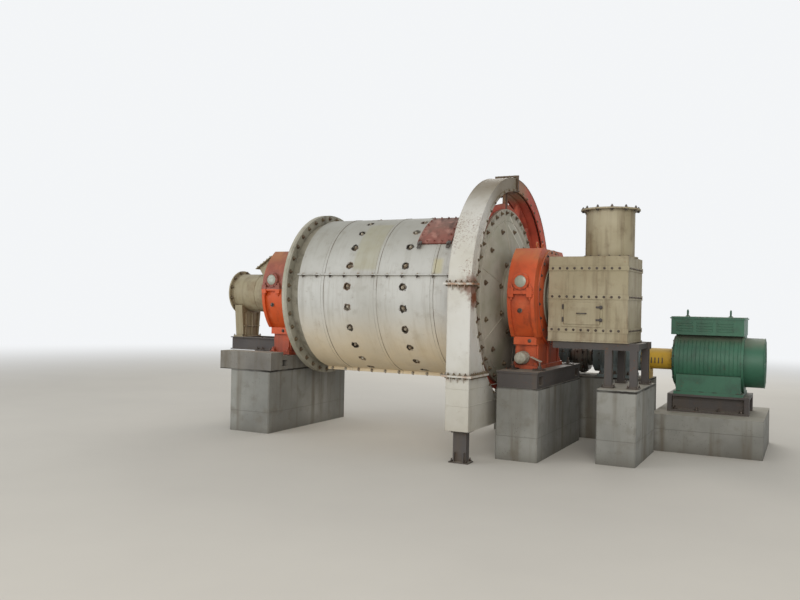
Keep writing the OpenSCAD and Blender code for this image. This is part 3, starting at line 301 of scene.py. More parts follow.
# One procedural material under construction, patterned on Object coordinates
class Paint:
    def __init__(self, name):
        self.material = bpy.data.materials.new(name)
        self.material.use_nodes = True
        self.tree = self.material.node_tree
        self.shader = self.tree.nodes["Principled BSDF"]
        self.place = self.node("ShaderNodeTexCoord", output="Object")
        facing = self.node("ShaderNodeTexCoord", output="Normal")
        self.x, self.y, self.z = (self.node("ShaderNodeSeparateXYZ", {}, {0: self.place}, k) for k in "XYZ")
        self.up = self.node("ShaderNodeSeparateXYZ", {}, {0: facing}, "Z")

    # Adds a node: its settings first, then the values or links of its sockets
    def node(self, kind, settings=None, inputs=None, output=0):
        made = self.tree.nodes.new(kind)
        for key, value in (settings or {}).items():
            setattr(made, key, value)
        for key, value in (inputs or {}).items():
            if isinstance(value, Signal):
                self.tree.links.new(value.socket, made.inputs[key])
            else:
                made.inputs[key].default_value = value
        return Signal(self, made.outputs[output])

    def maths(self, operation, *inputs):
        return self.node("ShaderNodeMath", {"operation": operation}, dict(enumerate(inputs)))

    def vector(self, operation, *inputs, output=0):
        return self.node("ShaderNodeVectorMath", {"operation": operation}, dict(enumerate(inputs)), output)

    def joined(self, **parts):
        return self.node("ShaderNodeCombineXYZ", {}, parts)

    # Mix of two colours, each a signal or as it looks on screen
    def blend(self, first, second, factor):
        tints = [screenColor(*tint) if isinstance(tint, tuple) else tint for tint in (first, second)]
        return self.node("ShaderNodeMix", {"data_type": "RGBA"}, {0: factor, 6: tints[0], 7: tints[1]}, 2)

    # Lays tints over a colour, each by its share from 0 to 1; a layer may also raise the surface
    def layered(self, color, layers, height=0):
        for tint, share, *relief in layers:
            color = self.blend(color, tint, share)
            height = sum(relief, height)
        return color, height

    # Noise from 0 to 1, drawn out along an axis where that axis has a small stretch value
    def noise(self, scale, detail=3, stretch=(1, 1, 1), offset=(0, 0, 0), rough=0.55, place=None):
        return self.node("ShaderNodeTexNoise", {}, {
            "Vector": self.vector("MULTIPLY_ADD", place or self.place, stretch, offset),
            "Scale": scale, "Detail": detail, "Roughness": rough})

    # 1 inside a ball about a point, fading out over its ragged outer part
    def spot(self, centre, radius, soft, ragged):
        away = self.vector("DISTANCE", self.place, centre, output="Value")
        away = away + (self.noise(3 / radius, 4) - 0.5) * ragged * radius * 2
        return away.between(radius, radius * (1 - soft))

    # Broken line where a distance is 0, full up to its core and gone at its reach
    def line(self, away, reach, core, scale, low, high):
        return away.size().between(reach, core) * self.noise(scale, 4).between(low, high)

    # Grime and painted shade where surfaces meet, from ambient occlusion, 1 in a tight corner
    def corners(self, reach=0.12):
        return 1 - self.node("ShaderNodeAmbientOcclusion", {"samples": 4, "only_local": False},
                             {"Distance": reach}, "AO")

    # Links what changes over the surface, and returns the material
    def finish(self, color, roughness, metallic=None, height=None, depth=0.002, strength=0.6):
        pins = self.shader.inputs
        for socket, value in (("Base Color", color), ("Roughness", roughness), ("Metallic", metallic)):
            if isinstance(value, Signal):
                self.tree.links.new(value.socket, pins[socket])
            elif value is not None:
                pins[socket].default_value = value
        if height is not None:
            relief = {"Height": height, "Distance": depth, "Strength": strength}
            bump = self.node("ShaderNodeBump", {}, relief)
            self.tree.links.new(bump.socket, pins["Normal"])
        return self.material


# A colour as it looks on screen, from 0 to 255 a channel, in the linear values that nodes take
def screenColor(red, green, blue):
    screen = np.array([red, green, blue]) / 255
    linear = np.where(screen <= 0.04045, screen / 12.92, ((screen + 0.055) / 1.055) ** 2.4)
    return (*linear.tolist(), 1.0)


rust = (122, 70, 40)
dustColor = (176, 168, 150)

# What the paints share; each paint in the table below changes what differs
paintLook = {
    "patchScale": 0.9,   # large cloudy patches, per metre
    "dirt": (112, 104, 88),
    "runs": 0.35,        # strength of vertical streaks
    "mottle": 0.25,      # strength of hand-sized blotches
    "dusty": 0.45,       # dust on faces that look up
    "grime": 0.55,       # dirt and painted shade in corners
    "chips": 0.35,       # share of the worn places that show rust
    "chipScale": 26,
    "gloss": 0.62,       # roughness of clean paint
    "grain": 0.0015,     # depth of the surface's bump in metres
    "grainScale": 60,
    "marks": lambda paint: (),
}


# Paint with patches, streaks, chips to rust, dust on top, dirt and painted shade in the corners and a part's own
# marks
def weatheredPaint(name, changes):
    look = {**paintLook, **changes}
    paint = Paint(name)
    broad = paint.noise(look["patchScale"], 5)
    blotch = paint.noise(look["patchScale"] * 7, 4, offset=(5, 3, 1))
    runs = paint.noise(7, 4, stretch=(1, 1, 0.08), offset=(1, 7, 3))
    fine = paint.noise(look["grainScale"], 3)
    worn = paint.noise(look["chipScale"], 5, rough=0.7).between(0.6, 0.68) * blotch.between(0.42, 0.62)
    dust = paint.up.between(0.45, 0.95) * (0.35 + 0.65 * blotch) * look["dusty"]
    color, height = paint.layered(look["color"], (
        (look["patch"], broad.between(0.36, 0.66)),
        (look["dirt"], blotch.between(0.5, 0.78) * look["mottle"]),
        (look["dirt"], runs.between(0.52, 0.74) * look["runs"]),
        (rust, worn * look["chips"]),
        # Dirt and painted shade in the corners, from ambient occlusion
        (look["dirt"], paint.corners().between(0.15, 0.85) * look["grime"]),
        (dustColor, dust),
        *look["marks"](paint)), fine * 0.5 + blotch * 0.5 - worn * 0.8)
    roughness = look["gloss"] + 0.18 * blotch + 0.2 * worn + 0.2 * dust - 0.08
    return paint.finish(color, roughness, None, height, look["grain"])


jacketLook = {
    "girth": 1.11,               # radius that the hoops' pattern is wrapped at
    "torn": (0.060, 0.051),      # rust and painted shade about a liner bolt: where it ends, where it is full
    "dirtyFrom": (1.5, 1.52),    # the liner rows' stretch of the drum
    "dirtyTo": (2.75, 2.73),
    "lapEdge": 0.023,            # from a lap strip's middle to its edge
    "patches": (                 # faded patches: tint, from and to along the drum, first and last degree
        ((150, 145, 114), 1.74, 2.11, 17, 62),
        ((176, 166, 108), 2.95, 3.08, 14, 25)),
    "patchSoft": 0.03,
}


# Stretch of the drum with the liner bolts
def linerStretch(paint):
    return paint.x.between(*jacketLook["dirtyFrom"]) * paint.x.between(*jacketLook["dirtyTo"])


# Distance along the drum to the nearest row of liner bolts
def toLinerRow(paint):
    first, second = mill["linerX"]
    return paint.x.toMultiple(second - first, first)


# Torn edges of rust and painted shade about the liner bolts, dark lines at the laps, painted warm light on the
# underside, painted shade on the top, and two faded patches
def jacketMarks(paint):
    look, soft = jacketLook, jacketLook["patchSoft"]
    above = paint.z - axisZ
    wrapped = paint.vector("MULTIPLY_ADD", paint.vector("NORMALIZE", paint.joined(Y=paint.y, Z=above)),
                           (0, 1.1, 1.1), paint.joined(X=paint.x))
    hoops = paint.noise(9, 4, stretch=(1, 0.12, 0.12), place=wrapped)
    yield (122, 114, 98), hoops.between(0.5, 0.72) * 0.28
    threads = paint.noise(70, 3, stretch=(1, 0.05, 0.05), place=wrapped).between(0.52, 0.7)
    yield (134, 122, 104), threads * paint.noise(1.6, 3).between(0.4, 0.6) * 0.3
    # Painted warm light from below: a cream tint that grows towards the drum's underside
    yield (226, 202, 158), (axisZ - paint.z).between(0.1, 1.05) * (0.4 + 0.6 * paint.noise(2.2, 4))
    # Painted shade: the upper part of the jacket darker
    yield (134, 132, 120), above.between(0.15, 0.95) * 0.6
    angle = paint.maths("ARCTAN2", above, 0 - paint.y)  # 0 at the front, a right angle at the top
    cloudy = 0.28 + 0.4 * paint.noise(6, 4, offset=(4, 1, 1))
    for tint, low, high, firstDegrees, lastDegrees in look["patches"]:
        first, last = radians(firstDegrees), radians(lastDegrees)
        inside = (paint.x.between(low - soft, low + soft) * paint.x.between(high + soft, high - soft)
                  * angle.between(first - soft, first + soft) * angle.between(last + soft, last - soft))
        yield tint, inside * cloudy
    laps = mill["lapX"]
    edge = (paint.x.toMultiple(laps[1] - laps[0], laps[0]) - look["lapEdge"]).size()
    spotted = paint.noise(3, 3, offset=(2, 2, 2)).between(0.34, 0.56)
    yield (86, 72, 54), edge.between(0.0042, 0.0015) * (0.25 + 0.6 * spotted)
    aside = angle.toMultiple(2 * pi / mill["linerCount"], radians(mill["linerPhase"])) * look["girth"]
    along = toLinerRow(paint)
    torn = (paint.noise(28, 3, rough=0.6) - 0.5) * 0.06
    away = paint.maths("SQRT", aside * aside + along * along) + torn
    fresh = 0.35 + 0.65 * paint.noise(2.1, 1, offset=(3, 8, 5)).between(0.40, 0.52)
    partly = 0.3 + 0.7 * paint.noise(13, 2, offset=(1, 6, 4)).between(0.40, 0.50)
    # Rust and painted shade round the cut-outs' edges: brown fading to near black
    rustAndShade = paint.blend((108, 82, 54), (44, 38, 30), fresh)
    yield rustAndShade, away.between(*look["torn"]) * linerStretch(paint) * partly
    runs = paint.noise(26, 3, stretch=(1, 1, 0.03), offset=(6, 0, 2)).between(0.54, 0.68)
    below = aside.between(0.05, 0.03) * along.between(0.05, 0.02) * linerStretch(paint)
    yield (112, 90, 62), runs * below * 0.5


# Painted shade inside the jacket's cut-outs, on the shell under the rows of liner bolts
def cutoutShade(paint):
    lit = paint.noise(13, 2, offset=(1, 6, 4)).between(0.38, 0.50)
    dark = toLinerRow(paint).between(0.07, 0.06) * linerStretch(paint)
    # Painted shade seen through the cut-outs
    yield (42, 36, 28), dark * (0.35 + 0.65 * lit)


# Pale ribbed strip stuck on the discharge head, with painted highlights along its edges
stripLook = {
    "slant": 32.6,            # degrees
    "across": (2.50, 2.695),  # its reach in the slanted directions
    "along": (-1.70, -0.98),
    "rib": 0.055,
    "fromX": (2, 2.1),        # no strip on the feed head
}


# Oil near the trunnion, darker low down, dirt round the flange, and the pale strip with painted edge highlights on
# a head
def headMarks(paint):
    far = paint.vector("LENGTH", paint.joined(Y=paint.y, Z=paint.z - axisZ), output="Value")
    # Darker towards the bottom of the head
    yield (112, 100, 80), (axisZ - paint.z).between(0.25, 1.15) * 0.4
    yield (98, 86, 66), far.between(0.75, 0.42) * (0.4 + 0.6 * paint.noise(6, 4)) * 0.4
    yield (136, 138, 112), paint.noise(2.6, 4, offset=(8, 2, 2)).between(0.42, 0.66) * 0.45
    slant = radians(stripLook["slant"])
    across = paint.z * cos(slant) + paint.y * sin(slant) + (paint.noise(16, 3) - 0.5) * 0.02
    along = paint.y * cos(slant) - paint.z * sin(slant)
    (low, high), (start, end) = stripLook["across"], stripLook["along"]
    inside = (across.between(low, low + 0.015) * across.between(high, high - 0.015)
              * along.between(start, start + 0.05) * along.between(end, end - 0.05)
              * paint.x.between(*stripLook["fromX"]))
    ribs = along.toMultiple(stripLook["rib"]).between(0.012, 0.004)
    yield (178, 178, 164), inside * (0.75 - 0.3 * ribs)
    # Painted highlights: pale lines along both edges of the strip
    half = (high - low) / 2
    rim = (across - (low + high) / 2).size().between(half - 0.035, half - 0.015)
    yield (216, 212, 198), inside * rim * 0.8
    turning = paint.noise(30, 3, stretch=(1, 0.02, 0.02))
    flange = paint.line(far - mill["flangeCircle"], 0.06, 0.02, 18, 0.46, 0.6)
    yield (84, 74, 54), flange * 0.6, turning * 0.1


guardLook = {
    "speck": (104, 58, 34),
    "bleed": (150, 104, 66),
    "specks": (((3.45, -1.38, 2.84), 0.42, 0.7, 0.5), ((3.68, -1.55, 2.36), 0.16, 0.6, 0.4)),
    "splitRust": (((3.70, -1.52, 2.14), 0.20, 0.55, 0.6), ((3.70, -1.50, 1.96), 0.13, 0.6, 0.6)),
    "crownY": 0.006,    # the crown's flange stands this far in front of the axis
}


# The flange at the guard's crown, gone dark brown
def crownFlange(paint):
    near = (paint.y + guardLook["crownY"]).size().between(0.045, 0.035) * paint.z.between(3.12, 3.16)
    return (74, 54, 38), near * (0.7 + 0.3 * paint.noise(20, 3))


# Heavy rust about the bolted splits of the gear guard, speckles on its shoulder and an olive crown
def guardMarks(paint):
    upper, lower = mill["guardSplits"]
    speck = paint.noise(42, 6, rough=0.78).between(0.52, 0.61)
    first, second = (paint.spot(*values) for values in guardLook["specks"])
    speckled = speck * (first + second)
    yield guardLook["speck"], speckled * 0.85, speckled * -0.5
    olive = paint.z.between(2.55, 3.2) * (0 - paint.y).between(1.35, 0.65)
    yield (94, 78, 44), olive * (0.84 + 0.16 * paint.noise(7, 5))
    yield crownFlange(paint)
    first, second = (paint.spot(*values) for values in guardLook["splitRust"])
    yield guardLook["speck"], (first + second) * 0.8
    yield guardLook["bleed"], paint.line(paint.z - upper, 0.07, 0.0, 13, 0.42, 0.62) * 0.7
    yield guardLook["bleed"], paint.line(paint.z - lower, 0.09, 0.0, 11, 0.45, 0.65) * 0.6
    yield (142, 132, 112), paint.z.between(0.95, 0.35) * (0.35 + 0.65 * paint.noise(5, 5)) * 0.6


# Red primer of the guard's back arch and the gear, gone olive about the crown
def primerMarks(paint):
    crown = (paint.y + 0.02).size().between(0.62, 0.25) * paint.z.between(3.2, 3.4)
    yield (118, 112, 84), crown * (0.45 + 0.55 * paint.noise(8, 5))
    yield crownFlange(paint)
    split = mill["guardSplits"][0] + 0.01
    yield (92, 52, 38), paint.line(paint.z - split, 0.10, 0.02, 12, 0.42, 0.62) * 0.6


# Orange casting paint that thins to a brown foot, with oil runs below the joint; the feed end's cap is painted
# dull as shade
def castingMarks(paint):
    split = mill["bearingSplit"]
    feedEnd = paint.x.between(0.8, 0.6)
    cap = paint.z.between(split - 0.005, split + 0.005)
    # Painted shade: the feed end's cap above the joint dulled to red-brown
    yield (124, 70, 56), feedEnd * cap * (0.75 + 0.25 * paint.noise(5, 4))
    yield (198, 78, 18), feedEnd * paint.z.between(split, split - 0.01) * 0.8
    foot = paint.z.between(1.50, 1.2) * (0.45 + 0.55 * paint.noise(6, 4)) * (0.55 + 0.45 * feedEnd)
    yield (122, 56, 42), foot * 0.85
    dusty = paint.z.between(2.42, 2.66) * paint.noise(4, 4, offset=(1, 1, 7)).between(0.36, 0.62)
    yield (186, 132, 74), dusty * 0.55
    runs = paint.noise(11, 4, stretch=(1, 1, 0.05)).between(0.5, 0.72)
    yield (96, 44, 24), runs * paint.z.between(2.15, 1.75) * 0.45
    yield (222, 132, 92), paint.noise(3.2, 5, offset=(9, 1, 4)).between(0.52, 0.74) * 0.3


# Brown drips and bands on the tan plate of both ends
def spoutMarks(paint):
    yield (112, 86, 56), paint.noise(6, 5, stretch=(1, 1, 0.12), offset=(4, 4, 0)).between(0.5, 0.7) * 0.55
    yield (96, 78, 54), paint.noise(12, 4, stretch=(1, 0.1, 0.1)).between(0.5, 0.7) * 0.35


# Dark streaks and pale worn patches on the manhole cover's primer
def coverMarks(paint):
    streaks = paint.noise(8, 5, stretch=(1, 0.25, 0.25), offset=(2, 0, 0), rough=0.65)
    yield (58, 34, 28), streaks.between(0.46, 0.64) * 0.75
    yield (182, 136, 122), paint.noise(7, 5, offset=(7, 7, 7)).between(0.50, 0.70) * 0.5


concreteLook = {
    "stain": (98, 90, 76),
    "shutter": 0.6,      # height of a cast lift, between two lines left by the shutters
    "gap": 0.897,        # height of the ragged gap under a bearing's block, painted as a dark shadow line
    "pores": 34,         # air holes, per metre
    "grain": 0.0035,     # depth of the surface's bump in metres
}


# Cast concrete with shutter joints, air holes, stains, a dusty top, a painted shadow line in the gap under a
# bearing's block, and dirt with painted shade in its corners
def castConcrete(name, changes):
    look = {**concreteLook, **changes}
    paint = Paint(name)
    mid = paint.noise(5, 5, offset=(3, 1, 8))
    fine = paint.noise(70, 4)
    runs = paint.noise(5, 4, stretch=(1, 1, 0.07), offset=(0, 5, 2))
    joint = paint.z.toMultiple(look["shutter"], 0.3).between(0.006, 0)
    ragged = (paint.noise(14, 4) - 0.5) * 0.016
    gap = (paint.z - look["gap"] + ragged).size().between(0.020, 0.008)
    cells = paint.node("ShaderNodeTexVoronoi", {}, {"Vector": paint.place, "Scale": look["pores"]}, "Distance")
    pores = cells.between(0.16, 0.1) * paint.noise(3, 3, offset=(6, 6, 6)).between(0.42, 0.6)
    color, height = paint.layered(look["color"], (
        (look["patch"], paint.noise(0.8, 6).between(0.35, 0.65)),
        (look["stain"], mid.between(0.5, 0.75) * 0.45),
        (look["stain"], runs.between(0.48, 0.7) * 0.75),
        ((92, 88, 80), joint * 0.5),
        # Painted shadow in the gap under a bearing's block
        ((34, 30, 26), gap * (0.45 + 0.55 * paint.noise(2.5, 3).between(0.35, 0.6))),
        ((74, 70, 64), pores * 0.8),
        ((92, 86, 74), paint.z.between(0.22, 0.0) * 0.35),
        (dustColor, paint.up.between(0.5, 0.95) * 0.5),
        # Dirt and painted shade in the corners, from ambient occlusion
        ((70, 66, 60), paint.corners(0.2).between(0.2, 0.9) * 0.5)),
        mid * 0.6 + fine * 0.25 - pores * 1.2 - joint * 0.9)
    return paint.finish(color, 0.88 + 0.08 * fine, 0.0, height, look["grain"], 0.8)


# Bare or oiled steel with turning marks, rust in spots and dirt with painted shade in its corners
def bareSteel(name, look):
    paint = Paint(name)
    broad = paint.noise(2.4, 5)
    spots = paint.noise(30, 5, rough=0.7).between(0.56, 0.66) * broad.between(0.4, 0.62)
    lines = paint.noise(160, 2, stretch=(1, 0.02, 0.02))
    color, height = paint.layered(look["color"], (
        (look["patch"], broad.between(0.35, 0.65)),
        (rust, spots * look["rust"]),
        # Dirt and painted shade in the corners, from ambient occlusion
        ((50, 44, 38), paint.corners(0.08).between(0.2, 0.9) * 0.6)), lines * 0.2 + spots)
    roughness = 0.34 + 0.25 * broad + 0.3 * spots
    return paint.finish(color, roughness, look["metal"] * (1 - 0.8 * spots), height, 0.0008)


# Colours are as they look on screen; all but the bolts', the glass's and the cap's bear the names of slots
looks = {
    castConcrete: {
        "concrete": {"color": (145, 145, 139), "patch": (119, 119, 114)},
        "grout": {"color": (132, 129, 122), "patch": (102, 99, 94), "shutter": 3.0}},
    bareSteel: {
        "machined_steel": {"color": (168, 166, 160), "patch": (128, 124, 116), "rust": 0.3, "metal": 0.85},
        "bolt_steel": {"color": (92, 84, 76), "patch": (62, 54, 48), "rust": 0.8, "metal": 0.6}},
    weatheredPaint: {
        "dark_steel": {"color": (72, 68, 66), "patch": (60, 54, 52), "dirt": (88, 74, 58),
                       "chips": 0.7, "dusty": 0.55, "gloss": 0.6},
        "orange_casting": {"color": (202, 88, 42), "patch": (180, 72, 36), "dirt": (112, 58, 38),
                           "runs": 0.4, "mottle": 0.35, "dusty": 0.35, "gloss": 0.5, "grain": 0.003,
                           "grainScale": 42, "marks": castingMarks},
        "shell_steel": {"color": (158, 154, 140), "patch": (136, 132, 116), "dirt": (70, 64, 50),
                        "runs": 0.5, "mottle": 0.6, "chips": 0.6, "marks": cutoutShade},
        "head_paint": {"color": (178, 174, 160), "patch": (162, 158, 142), "dirt": (98, 88, 70),
                       "chips": 0.25, "runs": 0.15, "marks": headMarks},
        "jacket_paint": {"color": (188, 188, 183), "patch": (173, 172, 165), "dirt": (124, 118, 104),
                         "runs": 0.12, "mottle": 0.34, "dusty": 0.2, "gloss": 0.55, "marks": jacketMarks},
        "red_primer": {"color": (126, 68, 58), "patch": (98, 52, 44), "dirt": (52, 34, 30),
                       "runs": 0.3, "mottle": 0.5, "dusty": 0.3, "gloss": 0.72, "marks": coverMarks},
        "gear_primer": {"color": (196, 86, 62), "patch": (168, 70, 52), "dirt": (88, 50, 38),
                        "mottle": 0.5, "runs": 0.2, "dusty": 0.3, "gloss": 0.68, "marks": primerMarks},
        "cream_paint": {"color": (200, 199, 193), "patch": (187, 184, 173), "dirt": (138, 130, 114),
                        "runs": 0.22, "mottle": 0.22, "chips": 0.3, "gloss": 0.5, "marks": guardMarks},
        "grey_casting": {"color": (112, 126, 128), "patch": (98, 110, 112), "gloss": 0.55, "grain": 0.0025},
        "yellow_paint": {"color": (208, 168, 52), "patch": (190, 150, 48), "dirt": (96, 78, 44)},
        "green_paint": {"color": (52, 104, 80), "patch": (44, 90, 70), "dirt": (44, 56, 48),
                        "dusty": 0.5, "gloss": 0.48, "mottle": 0.4},
        "tan_paint": {"color": (166, 157, 132), "patch": (148, 138, 110), "dirt": (98, 82, 60),
                      "runs": 0.5, "mottle": 0.45, "chips": 0.4, "marks": spoutMarks},
        "bolt_paint": {"color": (178, 172, 156), "patch": (134, 116, 92), "dirt": (82, 64, 46),
                       "patchScale": 5, "chipScale": 50, "mottle": 0.6, "chips": 0.9, "dusty": 0.3,
                       "grime": 0.8},
        "bolt_rust": {"color": (104, 90, 66), "patch": (80, 62, 44), "dirt": (60, 48, 36),
                      "patchScale": 5, "chipScale": 50, "mottle": 0.6, "chips": 0.4, "dusty": 0.35,
                      "grime": 0.7},
        "sight_glass": {"color": (158, 162, 148), "patch": (136, 140, 126), "patchScale": 6,
                        "gloss": 0.25, "chips": 0.0, "dusty": 0.2, "runs": 0.1},
        "cap_paint": {"color": (172, 170, 156), "patch": (140, 136, 120), "dirt": (92, 84, 70),
                      "patchScale": 9, "mottle": 0.6, "chips": 0.5, "dusty": 0.4, "gloss": 0.5}},
}
finishes = {name: make(name, look) for make, table in looks.items() for name, look in table.items()}
print("finishes made:", len(finishes))

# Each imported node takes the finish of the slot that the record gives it
for part in frame["record"]["subparts"]:
    for materialSlot in nodes[part["node"]].material_slots:
        materialSlot.material = finishes[part["material_slot"]]


# Bolts of the drum: its end flanges, two rings in each head, and the liner bolts in the jacket's cut-outs
drumBolts = {
    "count": 36,
    "phase": 5,                # degrees above the front
    "across": 0.031,
    "thread": 0.012,
    "headRings": ((0.915, 12, 10.5, 0.036), (0.514, 9, 14.5, 0.034)),  # radius, count, first angle, size
    "headThread": 0.010,
    "linerAcross": 0.042,
    "linerThread": 0.016,
    "linerStray": 0.010,       # how far a liner bolt may be out of its row
}
headCone = {"outer": 1.040, "inner": 0.490, "rise": 0.082}  # plate of a head, from its flange face outwards
coneSlope = headCone["rise"] / (headCone["outer"] - headCone["inner"])
shellLow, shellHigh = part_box("drum_shell")
feedFace = shellLow.x - mill["flange"]
dischargeFace = shellHigh.x + 2 * mill["flange"]  # beyond the gear's web and the head's flange
headFaces = ((feedFace, -1), (dischargeFace, 1))
print("drum from", round(feedFace, 3), "to", round(dischargeFace, 3))


# Places on a head's cone, given its flange face and the way out of the drum there
def onCone(face, way, radius, angles):
    return circle(face + way * coneSlope * (headCone["outer"] - radius), radius, angles)


def buildDrumBolts():
    made, flange = drumBolts, mill["flange"]
    turns = evenly(made["count"], made["phase"])
    addPiece("drum_flange_bolts", [
        hexes(made["across"], circle(x, mill["flangeCircle"], turns), (way, 0, 0), thread)
        for x, way, thread in ((feedFace, -1, 0), (feedFace + 2 * flange, 1, made["thread"]),
                               (dischargeFace, 1, made["thread"]), (shellHigh.x - flange, -1, 0))
    ], finish="bolt_rust", body="drum")
    addPiece("head_bolts", [
        hexes(across, onCone(face, way, radius, evenly(count, phase)),
              outward(evenly(count, phase)) * coneSlope + [way, 0, 0], made["headThread"])
        for radius, count, phase, across in made["headRings"] for face, way in headFaces
    ], finish="bolt_rust", body="drum")
    turns = evenly(mill["linerCount"], mill["linerPhase"])
    liners = []
    for x in mill["linerX"]:
        stray = made["linerStray"] * np.sin(2.4 * np.arange(len(turns)) + 9 * x)
        liners.append(hexes(made["linerAcross"], circle(x + stray, mill["shellRadius"], turns + stray),
                            outward(turns), made["linerThread"]))
    addPiece("drum_liner_bolts", liners, finish="bolt_paint", body="drum")


buildDrumBolts()

# Joints of the head plates: ridges that run out from the trunnion, and the weld round the flange
headJoints = {"angles": (20, 80, 140, 200, 260, 326), "reach": (0.50, 1.035), "ridge": 0.006, "weld": 0.007}


def buildHeadJoints():
    made = headJoints
    radii = np.linspace(*made["reach"], 26)
    shapes = []
    for face, way in headFaces:
        for turn in np.radians(made["angles"]):
            shapes.append(rod(onCone(face, way, radii, turn), made["ridge"], 6))
        shapes.append(bead(circle(face, headCone["outer"], evenly(180)), made["weld"], loop=True))
    addPiece("head_joints", shapes, "head_paint", body="drum")


buildHeadJoints()

# Fixings of the jacket: bolts through the seams' two flanges, and screws along the lap strips
jacketFixings = {
    "seams": (103, 13, -77, -167),  # degrees above the front
    "first": 0.968,
    "pitch": 0.2225,
    "count": 11,
    "radius": 1.135,
    "halfSeam": 0.0083,
    "heads": (0.022, 0.0),          # size and thread
    "nuts": (0.0253, 0.012),
    "screws": 60,
    "screwAcross": 0.011,
    "screwAside": 0.013,            # from a strip's middle
    "screwProud": 0.0038,
}


def buildJacketFixings():
    made = jacketFixings
    x = made["first"] + made["pitch"] * np.arange(made["count"])
    for name, way, finish in (("heads", 1, "bolt_paint"), ("nuts", -1, "bolt_steel")):
        across, thread = made[name]
        rows = []
        for turn in np.radians(made["seams"]):
            along = way * np.array([0, sin(turn), cos(turn)])  # round the drum, away from the seam
            places = circle(x, made["radius"], turn) + made["halfSeam"] * along
            rows.append(hexes(across, places, along, thread))
        addPiece("jacket_seam_" + name, rows, finish=finish, body="drum")
    turns = evenly(made["screws"], 3)
    fromSeam = np.abs((np.degrees(turns) - made["seams"][1] + 45) % 90 - 45)  # degrees
    turns = turns[fromSeam > 1.5]
    addPiece("jacket_screws", [
        spread(roundHead(made["screwAcross"]),
               circle(lap + side * made["screwAside"], mill["jacketRadius"] + made["screwProud"], turns),
               outward(turns)) for lap in mill["lapX"] for side in (-1, 1)], "jacket_paint", body="drum")


buildJacketFixings()

# Manhole cover's fittings: bolts round its rim, the seal's edge and two clamps under its lower edge
manhole = {
    "span": (2.641, 3.129),
    "angles": (37, 70),        # degrees above the front
    "radius": 1.136,
    "inset": 0.035,
    "boltsAlong": 5,
    "boltsRound": 6,
    "across": 0.022,
    "thread": 0.008,
    "clampX": (2.687, 3.106),
    "clampAngle": 35.4,
    "strap": (0.052, 0.115, 0.014, 0.008),  # width, length, thickness and corner
    "wedge": ((0.02, 0.014), (0.02, 0.04), (0.014, 0.046)),
    "seal": 0.004,
}


def buildManhole():
    made, radius, edge = manhole, manhole["radius"], manhole["inset"]
    (start, end), (low, high) = made["span"], np.radians(made["angles"])
    xs = np.linspace(start + edge, end - edge, made["boltsAlong"])
    turns = np.linspace(low + edge / radius, high - edge / radius, made["boltsRound"])
    rim = [(x, turn) for turn in turns[[0, -1]] for x in xs]
    rim += [(x, turn) for x in xs[[0, -1]] for turn in turns[1:-1]]
    rimX, rimTurns = np.array(rim).T
    bolts = hexes(made["across"], circle(rimX, radius, rimTurns), outward(rimTurns), made["thread"])
    addPiece("manhole_bolts", [bolts], "red_primer", body="drum")
    under = radians(made["clampAngle"])
    clamp = together(plate(*made["strap"]), turned(made["wedge"], 12))
    clamps = spread(clamp, circle(made["clampX"], radius, under), outward([under]))
    addPiece("manhole_clamps", [clamps], body="drum")
    edges = [circle(x, mill["jacketRadius"], np.linspace(low, high, 40)) for x in made["span"]]
    edges += [circle(np.linspace(start, end, 34), mill["jacketRadius"], turn) for turn in (low, high)]
    addPiece("manhole_seal", [bead(line, made["seal"]) for line in edges], body="drum")


buildManhole()

# Joint of the girth gear's halves, at the top and at the bottom: plates across the rim with bolts
gearJoint = {
    "radius": 1.4125,
    "x": (3.452, 3.518),
    "z": (-0.016, 0.0145),     # a plate's faces from that radius
    "half": 0.07,
    "boltX": (3.469, 3.502),
    "boltY": 0.045,
    "across": 0.024,
    "thread": 0.006,
}


def buildGearJoint():
    made = gearJoint
    (x0, x1), (under, over), half, y = made["x"], made["z"], made["half"], made["boltY"]
    shapes, bolts = [], []
    for side in (1, -1):
        z = axisZ + side * made["radius"]
        shapes.append(block((x0, -half, z + under), (x1, half, z + over), 0.003))
        places = grid(made["boltX"], (-y, y), z + side * under)
        bolts.append(hexes(made["across"], places, (0, 0, -side), made["thread"]))
    addPiece("gear_joint_plates", shapes, "gear_primer", body="drum")
    addPiece("gear_joint_bolts", bolts, finish="bolt_steel", body="drum")


buildGearJoint()

# Bolts of the gear guard: level flanges at both splits, the crown, the rims round the openings
guardBolts = {
    "lip": 0.048,
    "plate": 0.012,
    "hole": 1.439,
    "across": 0.025,
    "thread": 0.012,
    "frontPitch": 0.075,
    "sidePitch": 0.060,
    "crownPitch": 0.078,
    "drive": (1.5, 1.6),       # behind this y and under this height stands the pinion's cover
    "rimCircle": 1.457,
    "rimCount": 48,
    "rimAcross": 0.019,
    "rimProud": 0.006,
}
guardLow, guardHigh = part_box("guard_arch_front")
guardX = (guardLow.x + guardBolts["lip"], guardHigh.x - guardBolts["lip"])  # outer faces of the side plates
guardSides = tuple(zip(guardX, (-1, 1)))


